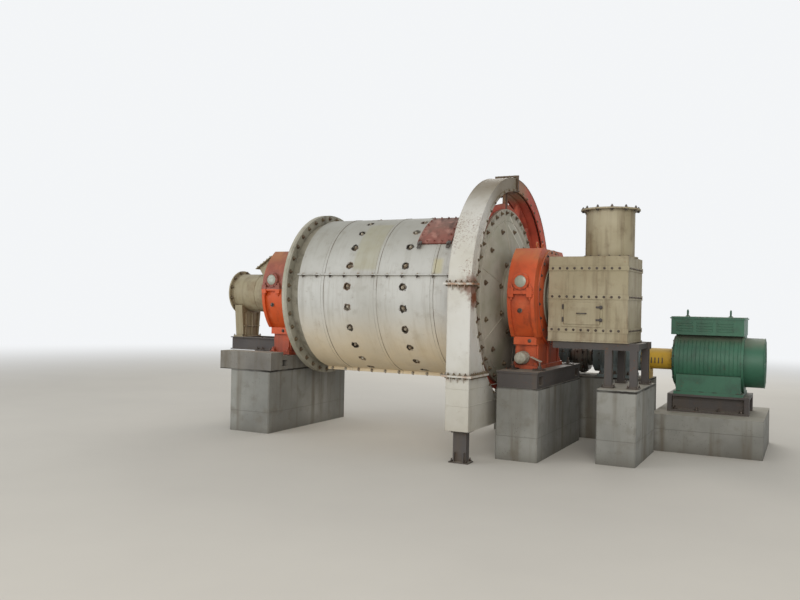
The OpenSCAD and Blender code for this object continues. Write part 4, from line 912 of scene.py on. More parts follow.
def buildGuardBolts():
    made, outer, lip = guardBolts, mill["guardRadius"], guardBolts["lip"] / 2
    frontX = np.arange(guardX[0] + 0.035, guardX[1] - 0.02, made["frontPitch"])
    places = []
    for z in mill["guardSplits"]:
        hole = (made["hole"] ** 2 - (z - axisZ) ** 2) ** 0.5
        sideY = np.arange(hole + 0.05, outer - 0.01, made["sidePitch"])
        for side in (-1, 1):
            places.append(grid(frontX, side * (outer + lip), z))
            places += [grid(x + way * lip, side * sideY, z) for x, way in guardSides]
    places = np.vstack(places)
    places = places[(places[:, 1] < made["drive"][0]) | (places[:, 2] > made["drive"][1])]
    crown = grid(np.arange(guardX[0] + 0.03, guardX[1], made["crownPitch"]), 0, axisZ + outer + lip)
    addPiece("guard_flange_bolts", [
        hexes(made["across"], row + made["plate"] * np.array(aim), aim, thread)
        for row, aim, thread in ((places, (0, 0, 1), made["thread"]), (places, (0, 0, -1), 0),
                                 (crown, (0, -1, 0), made["thread"]), (crown, (0, 1, 0), 0))
    ], finish="bolt_rust")
    turns = evenly(made["rimCount"], 2)
    addPiece("guard_rim_bolts", [
        hexes(made["rimAcross"], circle(x + way * made["rimProud"], made["rimCircle"], turns), (way, 0, 0))
        for x, way in guardSides], finish="bolt_rust")


buildGuardBolts()

# Welds of the guard, along its corners and level on the sump, and the gussets under its lips
guardWelds = {
    "bead": 0.0055,
    "sumpLevels": (0.905, 0.700),
    "bottom": 0.396,
    "behind": 0.35,            # the sump's level beads stop this far before its back
    "gusset": 0.008,           # thickness
    "gussetPitch": 0.085,
    "gussetOutline": ((0, 0), (0.040, 0), (0.034, -0.012), (0.010, -0.062), (0, -0.070)),
}


def buildGuardWelds():
    made, outer, (left, right), lip = guardWelds, mill["guardRadius"], guardX, guardBolts["plate"]
    upper, lower = mill["guardSplits"]
    start = np.arcsin((upper + lip - axisZ) / outer) + 0.01
    lines = []
    for x in guardX:
        bottom, front = made["bottom"], 0.002 - outer
        lines += [((x, front, bottom + 0.01), (x, front, lower - 0.014)),
                  ((x, front, lower + 0.014), (x, front, upper - 0.014)),
                  ((x, -outer, bottom + 0.003), (x, outer, bottom + 0.003))]
    for z in made["sumpLevels"]:
        lines.append(((left, -outer, z), (right, -outer, z)))
        lines += [((x, -outer, z), (x, outer - made["behind"], z)) for x in guardX]
    arc = np.linspace(start, pi - start, 260)
    arches = [bead(circle(x, outer - 0.002, arc), made["bead"]) for x in guardX]
    addPiece("guard_welds", arches + [seam(*line, made["bead"]) for line in lines], "cream_paint")
    reach, drop = np.array(made["gussetOutline"]).T
    half = made["gusset"] / 2
    points, faces = loft([np.column_stack([np.full(len(reach), x), -reach, drop]) for x in (-half, half)])
    places = grid(left + 0.06 + np.arange(3) * made["gussetPitch"], -outer, (lower - lip, upper - lip))
    addPiece("guard_gussets", [(points + place, faces) for place in places], "cream_paint")


buildGuardWelds()

# Fittings of each main bearing: bolts of its joint and base, screws round the seals, eyes and sight glass
bearingLook = {
    "half": 0.177,             # half the housing's length
    "lug": (0.122, 0.790, 0.060),  # a boss: from the bearing's middle along and across, and over the joint
    "across": 0.034,
    "thread": 0.014,
    "sealCircle": 0.600,
    "sealCount": 20,
    "sealAcross": 0.020,
    "sealProud": 0.018,
    "sealEdge": 0.628,
    "foot": (0.135, 0.530, 1.157),  # base bolts: along and across from the middle, and height
    "footAcross": 0.046,
    "footThread": 0.03,
    "top": 2.684,
    "eyeY": (-0.12, 0.12),
    "eyeSize": 0.034,
    "port": (-0.793, 2.230),   # y and height of the sight glass
    "glass": 0.077,
    "portBolts": 0.0945,       # radius of their circle
    "portAcross": 0.014,
    "lid": ((0.075, 0), (0.075, 0.012), (0.068, 0.018), (0.02, 0.020)),
}
bearingX = [(low.x + high.x) / 2
            for low, high in (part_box("feed_bearing_cap"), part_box("discharge_bearing_cap"))]


def buildBearingFittings():
    made = bearingLook
    (lugX, lugY, lugZ), (footX, footY, footZ), (portY, portZ) = made["lug"], made["foot"], made["port"]
    glass, front = made["glass"], (0, -1, 0)
    disc = turned([(glass, 0), (glass, 0.006), (glass - 0.005, 0.010), (0.02, 0.012)], 28)
    inner, outer = glass - 0.001, glass + 0.0085
    bezel = turned([(inner, 0), (inner, 0.010), (glass + 0.002, 0.013), (outer, 0.013), (outer, 0)], 36,
                   startCap=False, endCap=False)
    turns, far = evenly(8, 22.5), made["portBolts"]
    bolts, seals, eyes, discs, rims = [], [], [], [], []
    for x in bearingX:
        for side in (-1, 1):
            bolts += [hexes(made["across"], (x + along, side * lugY, mill["bearingSplit"] + up * lugZ),
                            (0, 0, up), made["thread"]) for along in (-lugX, lugX) for up in (1, -1)]
            feet = grid((x - footX, x + footX), side * footY, footZ)
            bolts.append(hexes(made["footAcross"], feet, (0, 0, 1), made["footThread"]))
            face = x + side * (made["half"] + made["sealProud"])
            screws = circle(face, made["sealCircle"], evenly(made["sealCount"], 9))
            seals.append(hexes(made["sealAcross"], screws, (side, 0, 0)))
            rims.append(rod(circle(face - side * 0.001, made["sealEdge"], evenly(90)), 0.003, 5, loop=True))
        eyes.append(spread(liftingEye(made["eyeSize"]), grid(x, made["eyeY"], made["top"]), (0, 0, 1)))
        eyes.append(spread(turned(made["lid"], 24), (x, 0, made["top"]), (0, 0, 1)))
        discs.append(spread(disc, (x, portY, portZ), front))
        bolts.append(spread(bezel, (x, portY, portZ), front))
        ring = [(x + far * cos(turn), portY - 0.006, portZ + far * sin(turn)) for turn in turns]
        bolts.append(hexes(made["portAcross"], ring, front, washer=False))
    addPiece("bearing_bolts", bolts, "orange_casting")
    addPiece("bearing_seal_screws", seals, finish="bolt_steel")
    addPiece("bearing_eyes", eyes, "orange_casting")
    addPiece("sight_discs", discs, "machined_steel", "sight_glass")
    addPiece("bearing_seal_edges", rims)


buildBearingFittings()

# Fittings low on the bearings' fronts: plugs, and at the discharge end a round grey cap and a tilted plate
footFittings = {
    "plugs": ((0.030, -0.02, -0.7355, 1.86, 0.15), (0.024, 0.06, -0.560, 1.47, 0)),  # size, place, lean
    "cap": (4.018, -0.560, 1.252),
    "capRadius": 0.078,
    "capReach": 0.115,
    "tag": (4.205, -0.575, 1.235),
    "tagSize": ((-0.075, -0.045, 0), (0.075, 0.045, 0.008)),
    "tagTilt": 24,             # degrees, its right edge down
}


def buildFootFittings():
    made, r, reach = footFittings, footFittings["capRadius"], footFittings["capReach"]
    addPiece("bearing_plugs", [hexes(across, (x + aside, y, z), (0, -1, lean)) for x in bearingX
                               for across, aside, y, z, lean in made["plugs"]], finish="bolt_steel")
    cap = turned([(r * 0.8, 0), (r, 0.012), (r, reach - 0.02), (r * 0.95, reach - 0.006), (r * 0.84, reach),
                  (r * 0.3, reach + 0.004)], 32)
    boss = turned([(r * 1.08, -0.06), (r * 1.08, 0.002)], 32)
    addPiece("foot_cap", [spread(shape, made["cap"], (0, -1, 0)) for shape in (cap, boss)],
             "grey_casting", "cap_paint")
    tilt = radians(made["tagTilt"])
    tag = spread(block(*made["tagSize"]), made["tag"], (sin(tilt), 0, cos(tilt)), pi / 2)
    addPiece("foot_tag", [tag], "machined_steel", "cap_paint")


buildFootFittings()

# Anchors, shims and welds under the bearings' bases
baseLook = {
    "anchor": 0.046,
    "anchorEdge": 0.09,        # from the box's ends
    "anchorY": 0.67,
    "washer": (0.07, 0.07, 0.016),
    "soleTop": 1.107,
    "shim": (0.07, 0.06, 0.012),
    "shimX": (-0.185, 0.12),   # from a bearing's middle
    "shimY": 0.545,
    "edgeY": 1.017,            # welds of the base box
    "edgeDrop": 0.026,
}


def buildBaseDetails():
    made = baseLook
    low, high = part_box("discharge_base_box")
    (halfX, halfY, thick), (long, wide, tall), edgeY = made["washer"], made["shim"], made["edgeY"]
    anchor = together(block((-halfX, -halfY, 0), (halfX, halfY, thick)),
                      hexes(made["anchor"], (0, 0, thick), (0, 0, 1), 0.05))
    inset, y = made["anchorEdge"], made["anchorY"]
    corners = grid((low.x + inset, high.x - inset), (-y, y), high.z)
    addPiece("base_anchors", [spread(anchor, corners, (0, 0, 1))], finish="bolt_steel")
    addPiece("base_shims", [
        block((x, side * made["shimY"], top), (x + long, side * (made["shimY"] + wide), top + tall))
        for middle, top in zip(bearingX, (made["soleTop"], high.z)) for side in (-1, 1)
        for x in (middle + made["shimX"][0], middle + made["shimX"][1])], finish="bolt_steel")
    left, right, edge = low.x + 0.010, high.x - 0.010, high.z - made["edgeDrop"]
    beads = [seam((x, -edgeY, edge), (x, edgeY, edge)) for x in (left, right)]
    beads += [seam((left, y, z), (right, y, z), radius) for y in (-edgeY, edgeY)
              for z, radius in ((edge, 0.005), (low.z + 0.006, 0.006))]
    addPiece("base_welds", beads)


buildBaseDetails()
print("drum, guard and bearings fitted out")


# Feed end: bolts of the spout's flange and frame, welds, a band round it and its pedestal's ribs
feedEnd = {
    "back": -0.930,            # back face of the spout's flange
    "circle": 0.325,
    "count": 12,
    "across": 0.030,
    "spout": 0.298,            # radius of its outside
    "weldX": (-0.927, -0.5),
    "saddle": (-42, -138),     # degrees above the front, of the welds on the pedestal
    "saddleRadius": 0.300,
    "band": ((-0.32, -0.001), (-0.32, 0.008), (-0.28, 0.008), (-0.28, -0.001)),  # x and how proud
    "pedestal": (-0.905, -0.765),
    "ribY": (-0.16, 0, 0.16),
    "rib": (0.03, 0.012),      # depth and thickness
    "ribTop": 1.72,
    "shelf": (0.028, 0.20, 1.50, 1.512),  # a level rib: depth, half its width, lower and upper face
    "frameTop": 1.355,
    "frameBolts": ((-0.917, -0.753), (-0.225, 0.225)),
    "frameSizes": (0.016, 0.01),  # size and thread
    "sillTop": 1.151,
    "sillSizes": (0.026, 0.02),
    "sillBolts": ((-0.42, -0.33, -0.17, -0.08), (-0.28, -0.22, 0.22, 0.28)),
}
chute = {
    "lean": -34,               # degrees from upright, towards the feed end
    "foot": (-0.086, 0, 2.040),
    "rim": 0.588,              # from the foot up along the chute to the rim's upper face
    "rimThick": 0.012,
    "half": 0.138,             # half the chute's width, and half its rim's
    "rimHalf": 0.183,
    "across": 0.020,
    "corner": (0.30, 0.572),   # reach of the corner welds up along the chute
}
chuteLean = radians(chute["lean"])
chuteUp = np.array([sin(chuteLean), 0, cos(chuteLean)])
chuteAcross = np.array([cos(chuteLean), 0, -sin(chuteLean)])


# Place on the chute: up along it, across it and towards the back
def onChute(rise, across, aside):
    return chute["foot"] + rise * chuteUp + across * chuteAcross + [0, aside, 0]


def buildFeedBolts():
    made = feedEnd
    spoutBolts = circle(made["back"], made["circle"], evenly(made["count"], 15))
    middle = (chute["half"] + chute["rimHalf"]) / 2
    steps = np.linspace(0.02 - middle, middle - 0.02, 5)
    ring = [(across, side * middle) for across in steps for side in (-1, 1)]
    ring += [(side * middle, aside) for aside in steps[1:-1] for side in (-1, 1)]
    rim = np.array([onChute(chute["rim"], *place) for place in ring])
    addPiece("feed_flange_bolts", [
        hexes(made["across"], spoutBolts, (1, 0, 0), 0.012), hexes(chute["across"], rim, chuteUp),
        hexes(chute["across"], rim - chute["rimThick"] * chuteUp, -chuteUp)], finish="bolt_rust")


def buildFeedPlates():
    made, half, (low, high) = feedEnd, chute["half"], chute["corner"]
    beads = [bead(circle(x, made["spout"] + 0.001, evenly(150)), loop=True) for x in made["weldX"]]
    corners = half * np.array([(1, 1), (1, -1), (-1, -1), (-1, 1)])
    beads += [seam(onChute(low, *corner), onChute(high, *corner), 0.004) for corner in corners]
    neck = [onChute(high + 0.002, *corner) for corner in corners * (1 + 0.001 / half)]
    beads += [seam(neck[k - 1], neck[k], 0.004) for k in range(4)]
    saddle = np.radians(np.linspace(*made["saddle"], 60))
    beads += [bead(circle(x, made["saddleRadius"], saddle)) for x in made["pedestal"]]
    addPiece("feed_welds", beads, "tan_paint")
    band = loft([circle(x, made["spout"] + proud, evenly(72))[::-1] for x, proud in made["band"]],
                startCap=False, endCap=False)
    x, foot, top, (deep, thick) = made["pedestal"][1], made["frameTop"], made["ribTop"], made["rib"]
    ribs = [block((x, y - thick / 2, foot), (x + deep, y + thick / 2, top)) for y in made["ribY"]]
    deep, wide, under, over = made["shelf"]
    ribs.append(block((x, -wide, under), (x + deep, wide, over)))
    addPiece("spout_ribs", [band, *ribs], "tan_paint")


def buildFrameBolts():
    made, bolts = feedEnd, []
    for name in ("frame", "sill"):
        across, thread = made[name + "Sizes"]
        bolts.append(hexes(across, grid(*made[name + "Bolts"], made[name + "Top"]), (0, 0, 1), thread))
    addPiece("spout_frame_bolts", bolts, finish="bolt_steel")


buildFeedBolts()
buildFeedPlates()
buildFrameBolts()

# Discharge hood: bolts of its bands, its duct and its stand, two doors with hinges and latches, and welds
hoodLook = {
    "bands": (1.630, 2.050, 2.410),   # heights of the bolted bands' middles
    "out": 0.460,
    "pitch": 0.094,
    "across": 0.016,
    "door": ((4.52, 1.70), (4.98, 1.98)),
    "face": 0.450,
    "plates": ((0.03, 0.006), (0, 0.018)),  # a door's frame and leaf: past its edge, and how proud
    "hinge": 0.06,                    # from a door's lower and upper edges
    "pin": (0.012, 0.016, 0.03, 0.010),     # a hinge's pin: aside, proud, half its length and radius
    "latch": (0.05, 0.035, 0.012),    # inwards and outwards from a door's edge, and half its height
    "grip": (0.06, 0.045, 0.007),     # half its width, reach and radius
    "ductCircle": 0.348,
    "ductCount": 12,
    "ductAcross": 0.028,
    "ductFlange": 0.020,
    "footCircle": 0.334,              # ring of bolts at the duct's foot
    "footCount": 16,
    "weldY": 0.448,
    "ductWeld": 0.311,
    "standX": (5.085, 5.393),
    "standY": (-0.385, 0.385),
    "standBolt": 0.058,               # from a leg's middle to its bolts, both ways
}
hoodLow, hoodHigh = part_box("discharge_hood")
hoodEnd = hoodHigh.x - 0.004
ductLow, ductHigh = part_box("exhaust_duct")
ductX = (ductLow.x + ductHigh.x) / 2


def buildHoodBolts():
    made = hoodLook
    xs = np.arange(hoodLow.x + 0.05, hoodEnd - 0.03, made["pitch"])
    ys = np.arange(-0.40, 0.41, made["pitch"])
    bolts = []
    for z in made["bands"]:
        bolts += [hexes(made["across"], grid(xs, side * made["out"], z), (0, side, 0)) for side in (-1, 1)]
        bolts.append(hexes(made["across"], grid(hoodEnd, ys, z), (1, 0, 0)))
    ring = levelCircle(ductX, ductHigh.z, made["ductCircle"], evenly(made["ductCount"], 15))
    foot = levelCircle(ductX, ductLow.z + 0.012, made["footCircle"], evenly(made["footCount"], 11))
    bolts += [hexes(made["ductAcross"], ring, (0, 0, 1), 0.012),
              hexes(made["ductAcross"], ring - [0, 0, made["ductFlange"]], (0, 0, -1)),
              hexes(0.018, foot[foot[:, 0] < hoodHigh.x - 0.02], (0, 0, 1))]
    addPiece("hood_bolts", bolts, finish="bolt_steel")


def buildHoodDoors():
    (x0, z0), (x1, z1) = hoodLook["door"]
    face, hinge, swing = hoodLook["face"], hoodLook["hinge"], np.linspace(0, pi, 13)
    (aside, proudPin, halfPin, pinRadius), (inwards, outwards, half) = hoodLook["pin"], hoodLook["latch"]
    wide, deep, gripRadius = hoodLook["grip"]
    doors, latches = [], []
    for side in (-1, 1):
        for edge, proud in hoodLook["plates"]:
            doors.append(block((x0 - edge, side * face, z0 - edge),
                               (x1 + edge, side * (face + proud), z1 + edge), 0.003))
        pin, under, over = side * (face + proudPin), side * (face + 0.014), side * (face + 0.026)
        for z in (z0 + hinge, z1 - hinge):
            latches += [rod([(x0 - aside, pin, z - halfPin), (x0 - aside, pin, z + halfPin)], pinRadius, 12),
                        block((x1 - inwards, under, z - half), (x1 + outwards, over, z + half), 0.003),
                        hexes(0.022, (x1 + 0.014, over, z), (0, side, 0))]
        grip = np.column_stack([(x0 + x1) / 2 + wide * np.cos(swing),
                                under + side * deep * np.sin(swing) ** 0.6, np.full(13, (z0 + z1) / 2)])
        latches.append(rod(grip, gripRadius))
    addPiece("hood_doors", doors, "tan_paint")
    addPiece("hood_latches", latches)


def buildHoodWelds():
    y, x = hoodLook["weldY"], ductX + 0.22
    beads = [seam((x, side * y, hoodLow.z + 0.01), (x, side * y, hoodHigh.z - 0.004), 0.004)
             for x in (hoodLow.x + 0.002, hoodEnd - 0.012) for side in (-1, 1)]
    beads += [bead(levelCircle(ductX, z, hoodLook["ductWeld"], evenly(120)), 0.004, loop=True)
              for z in (ductLow.z + 0.013, ductHigh.z - 0.021)]
    beads.append(seam((x, -0.2195, ductLow.z + 0.02), (x, -0.2195, ductHigh.z - 0.03), 0.0035))
    addPiece("hood_welds", beads, "tan_paint")


def buildStandBolts():
    aside, height = hoodLook["standBolt"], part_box("hood_stand")[0].z + 0.016
    feet = [(x + along, y + out, height) for x in hoodLook["standX"] for y in hoodLook["standY"]
            for out in (-aside, aside) for along in (-aside, aside)]
    addPiece("hood_stand_bolts", [hexes(0.020, feet, (0, 0, 1), 0.015)], finish="bolt_steel")


buildHoodBolts()
buildHoodDoors()
buildHoodWelds()
buildStandBolts()

# Drive line: heights are over the pinion's axis where a plinth or a frame doesn't give them
pinionBearings = {
    "x": (3.150, 3.970),
    "half": 0.115,
    "radius": 0.190,
    "cap": (0.045, 0.205, 0.040),   # cap bolts: along, across and up from a bearing's middle
    "capAcross": 0.036,
    "foot": (0.07, 0.285, 0.060),   # foot bolts, whose height is over the plinth
    "footAcross": 0.040,
    "ring": 0.145,
    "ringAcross": 0.020,
    "seals": ((0.001, 0.170, 0.005, 60), (0.004, 0.108, 0.008, 48)),  # how proud, radius, wire, points
    "joint": (0.085, 0.15, 0.262, 0.003),
    "cup": ((0.018, 0), (0.018, 0.012), (0.010, 0.016), (0.010, 0.03), (0.026, 0.034), (0.026, 0.07),
            (0.02, 0.078)),
}
coupling = {"x": 4.280, "circle": 0.240, "across": 0.028, "count": 12, "half": 0.028, "groove": 0.085,
            "grooveRadius": 0.2155}


# Every place with one of the xs, by its ways across the pinion's axis and over it
def byPinion(xs, asides, overs):
    return grid(xs, pinionAxis.y + np.array(asides), pinionAxis.z + np.array(overs))


# Round wire about the pinion's axis
def hoop(x, radius, wire, count=60):
    return rod(circle(x, radius, evenly(count), pinionAxis), wire, 6, loop=True)


def buildPinionBearings():
    made, half = pinionBearings, pinionBearings["half"]
    (capX, capY, capZ), (footX, footY, footZ) = made["cap"], made["foot"]
    long, near, far, thick = made["joint"]
    cups = byPinion(made["x"], 0, made["radius"] - 0.002)
    bolts, seals = [], []
    for x in made["x"]:
        for side in (-1, 1):
            caps = byPinion((x - capX, x + capX), side * capY, capZ)
            feet = grid((x - footX, x + footX), pinionAxis.y + side * footY, mill["plinthTop"] + footZ)
            ring = circle(x + side * half, made["ring"], evenly(8, 22.5), pinionAxis)
            bolts += [hexes(made["capAcross"], caps, (0, 0, 1), 0.02),
                      hexes(made["footAcross"], feet, (0, 0, 1), 0.03),
                      hexes(made["ringAcross"], ring, (side, 0, 0))]
            seals += [hoop(x + side * (half + proud), *size) for proud, *size in made["seals"]]
            corners = byPinion(x - long, side * near, -thick)[0], byPinion(x + long, side * far, thick)[0]
            seals.append(block(*corners, 0.001))
    addPiece("pinion_bearing_bolts", bolts, finish="bolt_steel")
    addPiece("pinion_bearing_seals", seals, "grey_casting")
    addPiece("oil_cups", [spread(turned(made["cup"], 16), cups, (0, 0, 1))], "machined_steel")


def buildCoupling():
    made = coupling
    rings = [hexes(made["across"], circle(made["x"] + side * made["half"], made["circle"],
                                          evenly(made["count"], 15), pinionAxis), (side, 0, 0), 0.01)
             for side in (-1, 1)]
    grooves = [hoop(made["x"] + side * made["groove"], made["grooveRadius"], 0.004) for side in (-1, 1)]
    addPiece("coupling_bolts", rings + grooves, "machined_steel", "bolt_steel", "pinion_shaft")


buildPinionBearings()
buildCoupling()

reducer = {
    "middle": 4.805,            # of its gauge and its drain plug
    "across": 0.022,
    "rings": (                  # x, radius, count and way out
        (4.465, 0.200, 12, -1), (5.145, 0.165, 10, 1), (4.575, 0.250, 16, -1), (5.015, 0.230, 14, 1)),
    "feetX": (4.595, 4.805, 4.995),
    "feetY": (-0.29, 0.29),
    "footTop": 0.045,           # over the plinth
    "footAcross": 0.034,
    "eyeX": (4.685, 4.945),
    "eyeTop": 0.268,
    "front": -0.240,
    "breather": ((0.016, 0), (0.016, 0.03), (0.024, 0.034), (0.024, 0.052), (0.018, 0.06)),
    "gauge": ((0.032, 0), (0.032, 0.01), (0.026, 0.016), (0.022, 0.014)),
    "guardBands": (5.157, 5.568),
    "guardRadius": 0.1505,
    "slots": (5.235, 0.05, 0.015, 5),  # first, pitch, width and count in the coupling's guard
}


def buildReducer():
    made = reducer
    bolts = [hexes(made["across"], circle(x, radius, evenly(count, 11), pinionAxis), (way, 0, 0))
             for x, radius, count, way in made["rings"]]
    feet = grid(made["feetX"], pinionAxis.y + np.array(made["feetY"]), mill["plinthTop"] + made["footTop"])
    bolts.append(hexes(made["footAcross"], feet, (0, 0, 1), 0.025))
    addPiece("reducer_bolts", bolts, finish="bolt_steel")
    middle, front = made["middle"], made["front"]
    addPiece("reducer_fittings", [
        spread(liftingEye(0.030), byPinion(made["eyeX"], 0, made["eyeTop"]), (0, 0, 1)),
        spread(turned(made["breather"], 14), byPinion(middle - 0.005, 0.06, 0.262), (0, 0, 1)),
        spread(turned(made["gauge"], 20), byPinion(middle, front, -0.10), (0, -1, 0)),
        hexes(0.03, byPinion(middle, front, -0.20), (0, -1, 0), washer=False)], "grey_casting")
    bands = [hoop(x, made["guardRadius"], 0.006) for x in made["guardBands"]]
    addPiece("coupling_guard_bands", bands, "yellow_paint")
    first, pitch, wide, count = made["slots"]
    addPiece("coupling_guard_slots", [
        block(*byPinion(x, -0.153, -0.06), *byPinion(x + wide, -0.148, 0.02), 0.001)
        for x in first + pitch * np.arange(count)])


buildReducer()

motor = {
    "x": (5.580, 6.590),
    "radius": 0.430,
    "ribs": 15,
    "ribDegrees": ((-38, 44), (136, 218)),
    "louvre": (0.21, 0.009, 0.018),     # long, proud and tall
    "louvrePitch": (0.26, 0.036),
    "rings": (                          # x from its end, radius, count, first angle and size
        (0.060, 0.385, 16, 11, 0.024), (0.020, 0.300, 12, 5, 0.020), (0, 0.175, 6, 5, 0.018)),
    "feetX": (5.700, 6.000, 6.170, 6.470),
    "footY": 0.375,
    "footAcross": 0.040,
    "frameTop": 0.7851,                 # upper face of the feet
    "lidBolts": 9,                      # along each edge of the cooler's lid
    "lidAcross": 0.012,
    "eyeX": (5.760, 6.330),
    "cowl": 6.780,                      # end of the fan's cowl
    "grille": (0.05, 0.33, 0.03),       # radii of its wires
    "terminalX": (5.910, 6.260),
    "terminalY": 0.560,
    "terminalZ": (-0.150, 0.110),
    "gland": ((0.03, 0), (0.03, 0.03), (0.022, 0.034), (0.022, 0.05)),
}
coolerLow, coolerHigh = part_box("motor_cooler")


def buildMotorCasing():
    made, (start, end) = motor, motor["x"]
    arcs = [np.radians(np.linspace(*reach, 22)) for reach in made["ribDegrees"]]
    ribX = np.linspace(start + 0.13, end - 0.13, made["ribs"])
    ribs = [rod(circle(x, made["radius"] - 0.014, arc, pinionAxis), 0.005, 6) for x in ribX for arc in arcs]
    addPiece("motor_ribs", ribs, "green_paint")
    (long, proud, tall), (pitchX, pitchZ) = made["louvre"], made["louvrePitch"]
    addPiece("cooler_louvres", [
        block((x, y, z), (x + long, y + way * proud, z + tall), 0.004)
        for y, way in ((coolerLow.y + 0.014, -1), (coolerHigh.y - 0.014, 1))
        for x in np.arange(coolerLow.x + 0.09, coolerHigh.x - 0.20, pitchX)
        for z in np.arange(coolerLow.z + 0.05, coolerHigh.z - 0.06, pitchZ)], "green_paint")
    bolts = [hexes(across, circle(start + x, radius, evenly(count, phase), pinionAxis), (-1, 0, 0))
             for x, radius, count, phase, across in made["rings"]]
    feet = grid(made["feetX"], pinionAxis.y + np.array([-made["footY"], made["footY"]]), made["frameTop"])
    lid = grid(np.linspace(coolerLow.x + 0.04, coolerHigh.x - 0.04, made["lidBolts"]),
               (coolerLow.y + 0.006, coolerHigh.y - 0.006), coolerHigh.z - 0.012)
    bolts += [hexes(made["footAcross"], feet, (0, 0, 1), 0.02),
              hexes(made["lidAcross"], lid, (0, 0, 1), washer=False)]
    addPiece("motor_bolts", bolts, finish="bolt_steel")


def buildMotorFittings():
    made, cowl = motor, motor["cowl"]
    (x0, x1), y, (low, high) = made["terminalX"], made["terminalY"], made["terminalZ"]
    eyes = grid(made["eyeX"], pinionAxis.y, coolerHigh.z)
    screws = byPinion((x0 + 0.03, x1 - 0.03), y + 0.012, (low + 0.03, high - 0.03))
    glands = byPinion((x0 + 0.09, x1 - 0.09), y - 0.07, low)
    grille = [hoop(cowl + 0.001, radius, 0.004, 72) for radius in np.arange(*made["grille"])]
    spokes = [rod(circle(cowl + 0.003, (0.04, 0.325), turn, pinionAxis), 0.005, 6) for turn in evenly(6)]
    addPiece("motor_fittings", [
        spread(liftingEye(0.036), eyes, (0, 0, 1)), *grille, *spokes, hoop(cowl - 0.004, 0.338, 0.006, 72),
        block(*byPinion(x0 + 0.01, y, low + 0.01), *byPinion(x1 - 0.01, y + 0.012, high - 0.01), 0.004),
        hexes(0.016, screws, (0, 1, 0), washer=False),
        spread(turned(made["gland"], 12), glands, (0, 0, -1))], "green_paint")


def buildMotorFrame():
    low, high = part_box("motor_frame")
    flats = grid(np.linspace(low.x + 0.10, high.x - 0.10, 4), (low.y + 0.035, high.y - 0.035), low.z + 0.030)
    addPiece("motor_frame_bolts", [hexes(0.034, flats, (0, 0, 1), 0.02)], finish="bolt_steel")
    addPiece("motor_frame_welds", [
        seam((low.x + 0.06, y, z), (high.x - 0.06, y, z), 0.004)
        for y in (low.y + 0.096, high.y - 0.096) for z in (low.z + 0.031, high.z - 0.031)])


buildMotorCasing()
buildMotorFittings()
buildMotorFrame()

# Anchors of the guard's stools, and the bolts that hold the pinion's cover to the guard
guardFeet = {
    "inset": 0.035,
    "y": (-1.385, 1.385, -1.530, 1.530),
    "foot": 0.016,
    "footAcross": 0.026,
    "top": 0.380,
    "topAcross": 0.020,
    "coverPitch": 0.1,
    "coverAcross": 0.016,
}


def buildGuardFeet():
    made = guardFeet
    low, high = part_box("guard_legs")
    xs = (low.x + made["inset"], high.x - made["inset"])
    bolts = [hexes(made["footAcross"], grid(xs, made["y"], made["foot"]), (0, 0, 1), 0.02),
             hexes(made["topAcross"], grid(xs, made["y"], made["top"]), (0, 0, -1))]
    low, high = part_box("pinion_cover")
    ys = np.arange(low.y + 0.05, high.y - 0.02, made["coverPitch"])
    zs = (low.z + 0.03, high.z - 0.03)
    bolts += [hexes(made["coverAcross"], grid(x, ys, zs), (way, 0, 0))
              for x, way in ((low.x, -1), (high.x, 1))]
    addPiece("guard_foot_bolts", bolts, finish="bolt_steel")


buildGuardFeet()

# Camera where the photograph was taken, fitted to the mill's own edges
cameraLook = {
    "place": (7.312, -10.506, 1.921),
    "yaw": -0.4727,    # radians from +Y, to the left
    "pitch": 0.0040,
    "roll": 0.0206,
    "focal": 801.82,   # in pixels of the picture's width
    "width": 800,
}


def buildCamera():
    yaw, pitch, roll = cameraLook["yaw"], cameraLook["pitch"], cameraLook["roll"]
    ahead = Vector((sin(yaw) * cos(pitch), cos(yaw) * cos(pitch), sin(pitch)))
    right = Vector((cos(yaw), -sin(yaw), 0))
    above = right.cross(ahead)
    rolledRight = cos(roll) * right + sin(roll) * above
    rolledAbove = -sin(roll) * right + cos(roll) * above
    data = bpy.data.cameras.new("camera")
    data.sensor_width = 36
    data.lens = cameraLook["focal"] / cameraLook["width"] * data.sensor_width
    data.clip_end = 400
    camera = bpy.data.objects.new("camera", data)
    bpy.context.scene.collection.objects.link(camera)
    turn = Matrix((rolledRight, rolledAbove, -ahead)).transposed().to_4x4()
    camera.matrix_world = Matrix.Translation(cameraLook["place"]) @ turn
    bpy.context.scene.camera = camera


# Large soft lamps: a warm key from the right front, a cool fill from the left and one from behind
lamps = {
    "key": {"place": (9, -16, 7), "size": 9, "power": 1250, "color": (1.0, 0.95, 0.88)},
    "fill": {"place": (-9, -12, 5), "size": 9, "power": 700, "color": (0.90, 0.95, 1.0)},
    "back": {"place": (1, 14, 10), "size": 9, "power": 900, "color": (1.0, 0.98, 0.95)},
}


def buildLamps():
    for name, look in lamps.items():
        data = bpy.data.lights.new(name, "AREA")
        data.size = look["size"]
        data.energy = look["power"]
        data.color = look["color"]
        lamp = bpy.data.objects.new(name, data)
        lamp.location = look["place"]
        lamp.rotation_euler = (drumAxis - Vector(look["place"])).to_track_quat("-Z", "Y").to_euler()
        bpy.context.scene.collection.objects.link(lamp)


# Pale room: soft light from the world, and the same pale tone behind the object
room = {
    "light": 0.62,
    "tone": (0.90, 0.915, 0.93, 1),
    "floor": (204, 200, 191),
    "floorPatch": (194, 190, 182),
    "near": 9,       # the floor starts to pale at this distance and has the room's tone at the next
    "far": 26,
    "reach": 120,
}


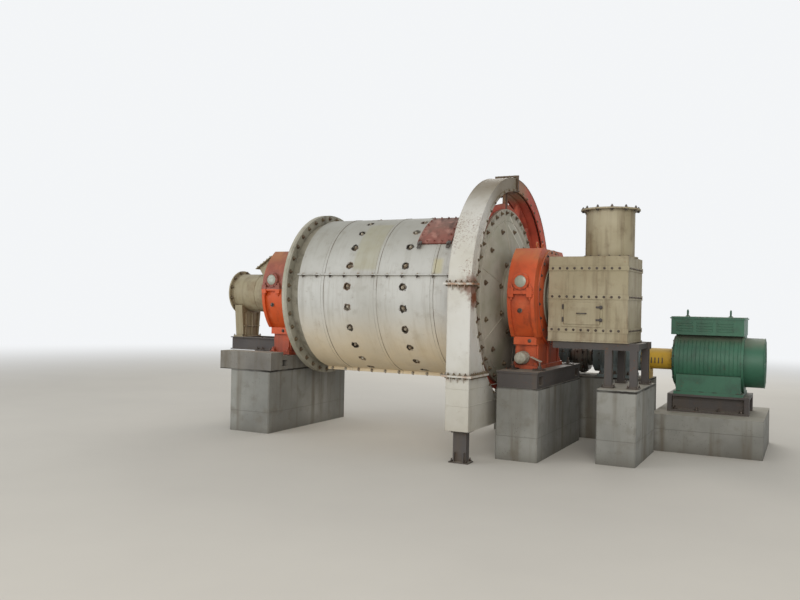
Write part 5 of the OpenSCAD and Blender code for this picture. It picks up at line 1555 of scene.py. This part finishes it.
def buildWorld():
    world = bpy.data.worlds.new("room")
    world.use_nodes = True
    bpy.context.scene.world = world
    tree = world.node_tree
    surface = tree.nodes["Background"]
    surface.inputs["Color"].default_value = room["tone"]
    surface.inputs["Strength"].default_value = room["light"]
    seen = tree.nodes.new("ShaderNodeBackground")
    seen.inputs["Color"].default_value = room["tone"]
    rays = tree.nodes.new("ShaderNodeLightPath")
    mixed = tree.nodes.new("ShaderNodeMixShader")
    direct = rays.outputs["Is Camera Ray"]
    for kind in ("Is Glossy Ray", "Is Transmission Ray"):
        either = tree.nodes.new("ShaderNodeMath")
        either.operation = "MAXIMUM"
        tree.links.new(direct, either.inputs[0])
        tree.links.new(rays.outputs[kind], either.inputs[1])
        direct = either.outputs[0]
    for k, source in enumerate((direct, surface.outputs[0], seen.outputs[0])):
        tree.links.new(source, mixed.inputs[k])
    tree.links.new(mixed.outputs[0], tree.nodes["World Output"].inputs["Surface"])


# Floor that fades to the room's tone away from the object
def buildFloor():
    paint = Paint("floor")
    centre = (*((cadLow + cadHigh) / 2).xy, 0)
    away = paint.vector("DISTANCE", paint.place, centre, output="Value")
    pale = paint.node("ShaderNodeEmission", {}, {"Color": room["tone"], "Strength": 1.0})
    blended = paint.node("ShaderNodeMixShader", {}, {0: away.between(room["near"], room["far"])})
    paint.finish(paint.blend(room["floor"], room["floorPatch"], paint.noise(0.6, 4)), 0.95)
    paint.shader.inputs["Specular IOR Level"].default_value = 0.1
    links = paint.tree.links
    links.new(paint.shader.outputs[0], blended.socket.node.inputs[1])
    links.new(pale.socket, blended.socket.node.inputs[2])
    links.new(blended.socket, paint.tree.nodes["Material Output"].inputs["Surface"])
    mesh = bpy.data.meshes.new("floor")
    corners = room["reach"] * np.array([(-1, -1, 0), (1, -1, 0), (1, 1, 0), (-1, 1, 0)])
    mesh.from_pydata(corners, [], [(0, 1, 2, 3)])
    mesh.materials.append(paint.material)
    floor = bpy.data.objects.new("floor", mesh)
    bpy.context.scene.collection.objects.link(floor)


buildCamera()
buildLamps()
buildWorld()
buildFloor()
print("camera, lamps and floor set")

bpy.context.scene.view_settings.view_transform = "Standard"
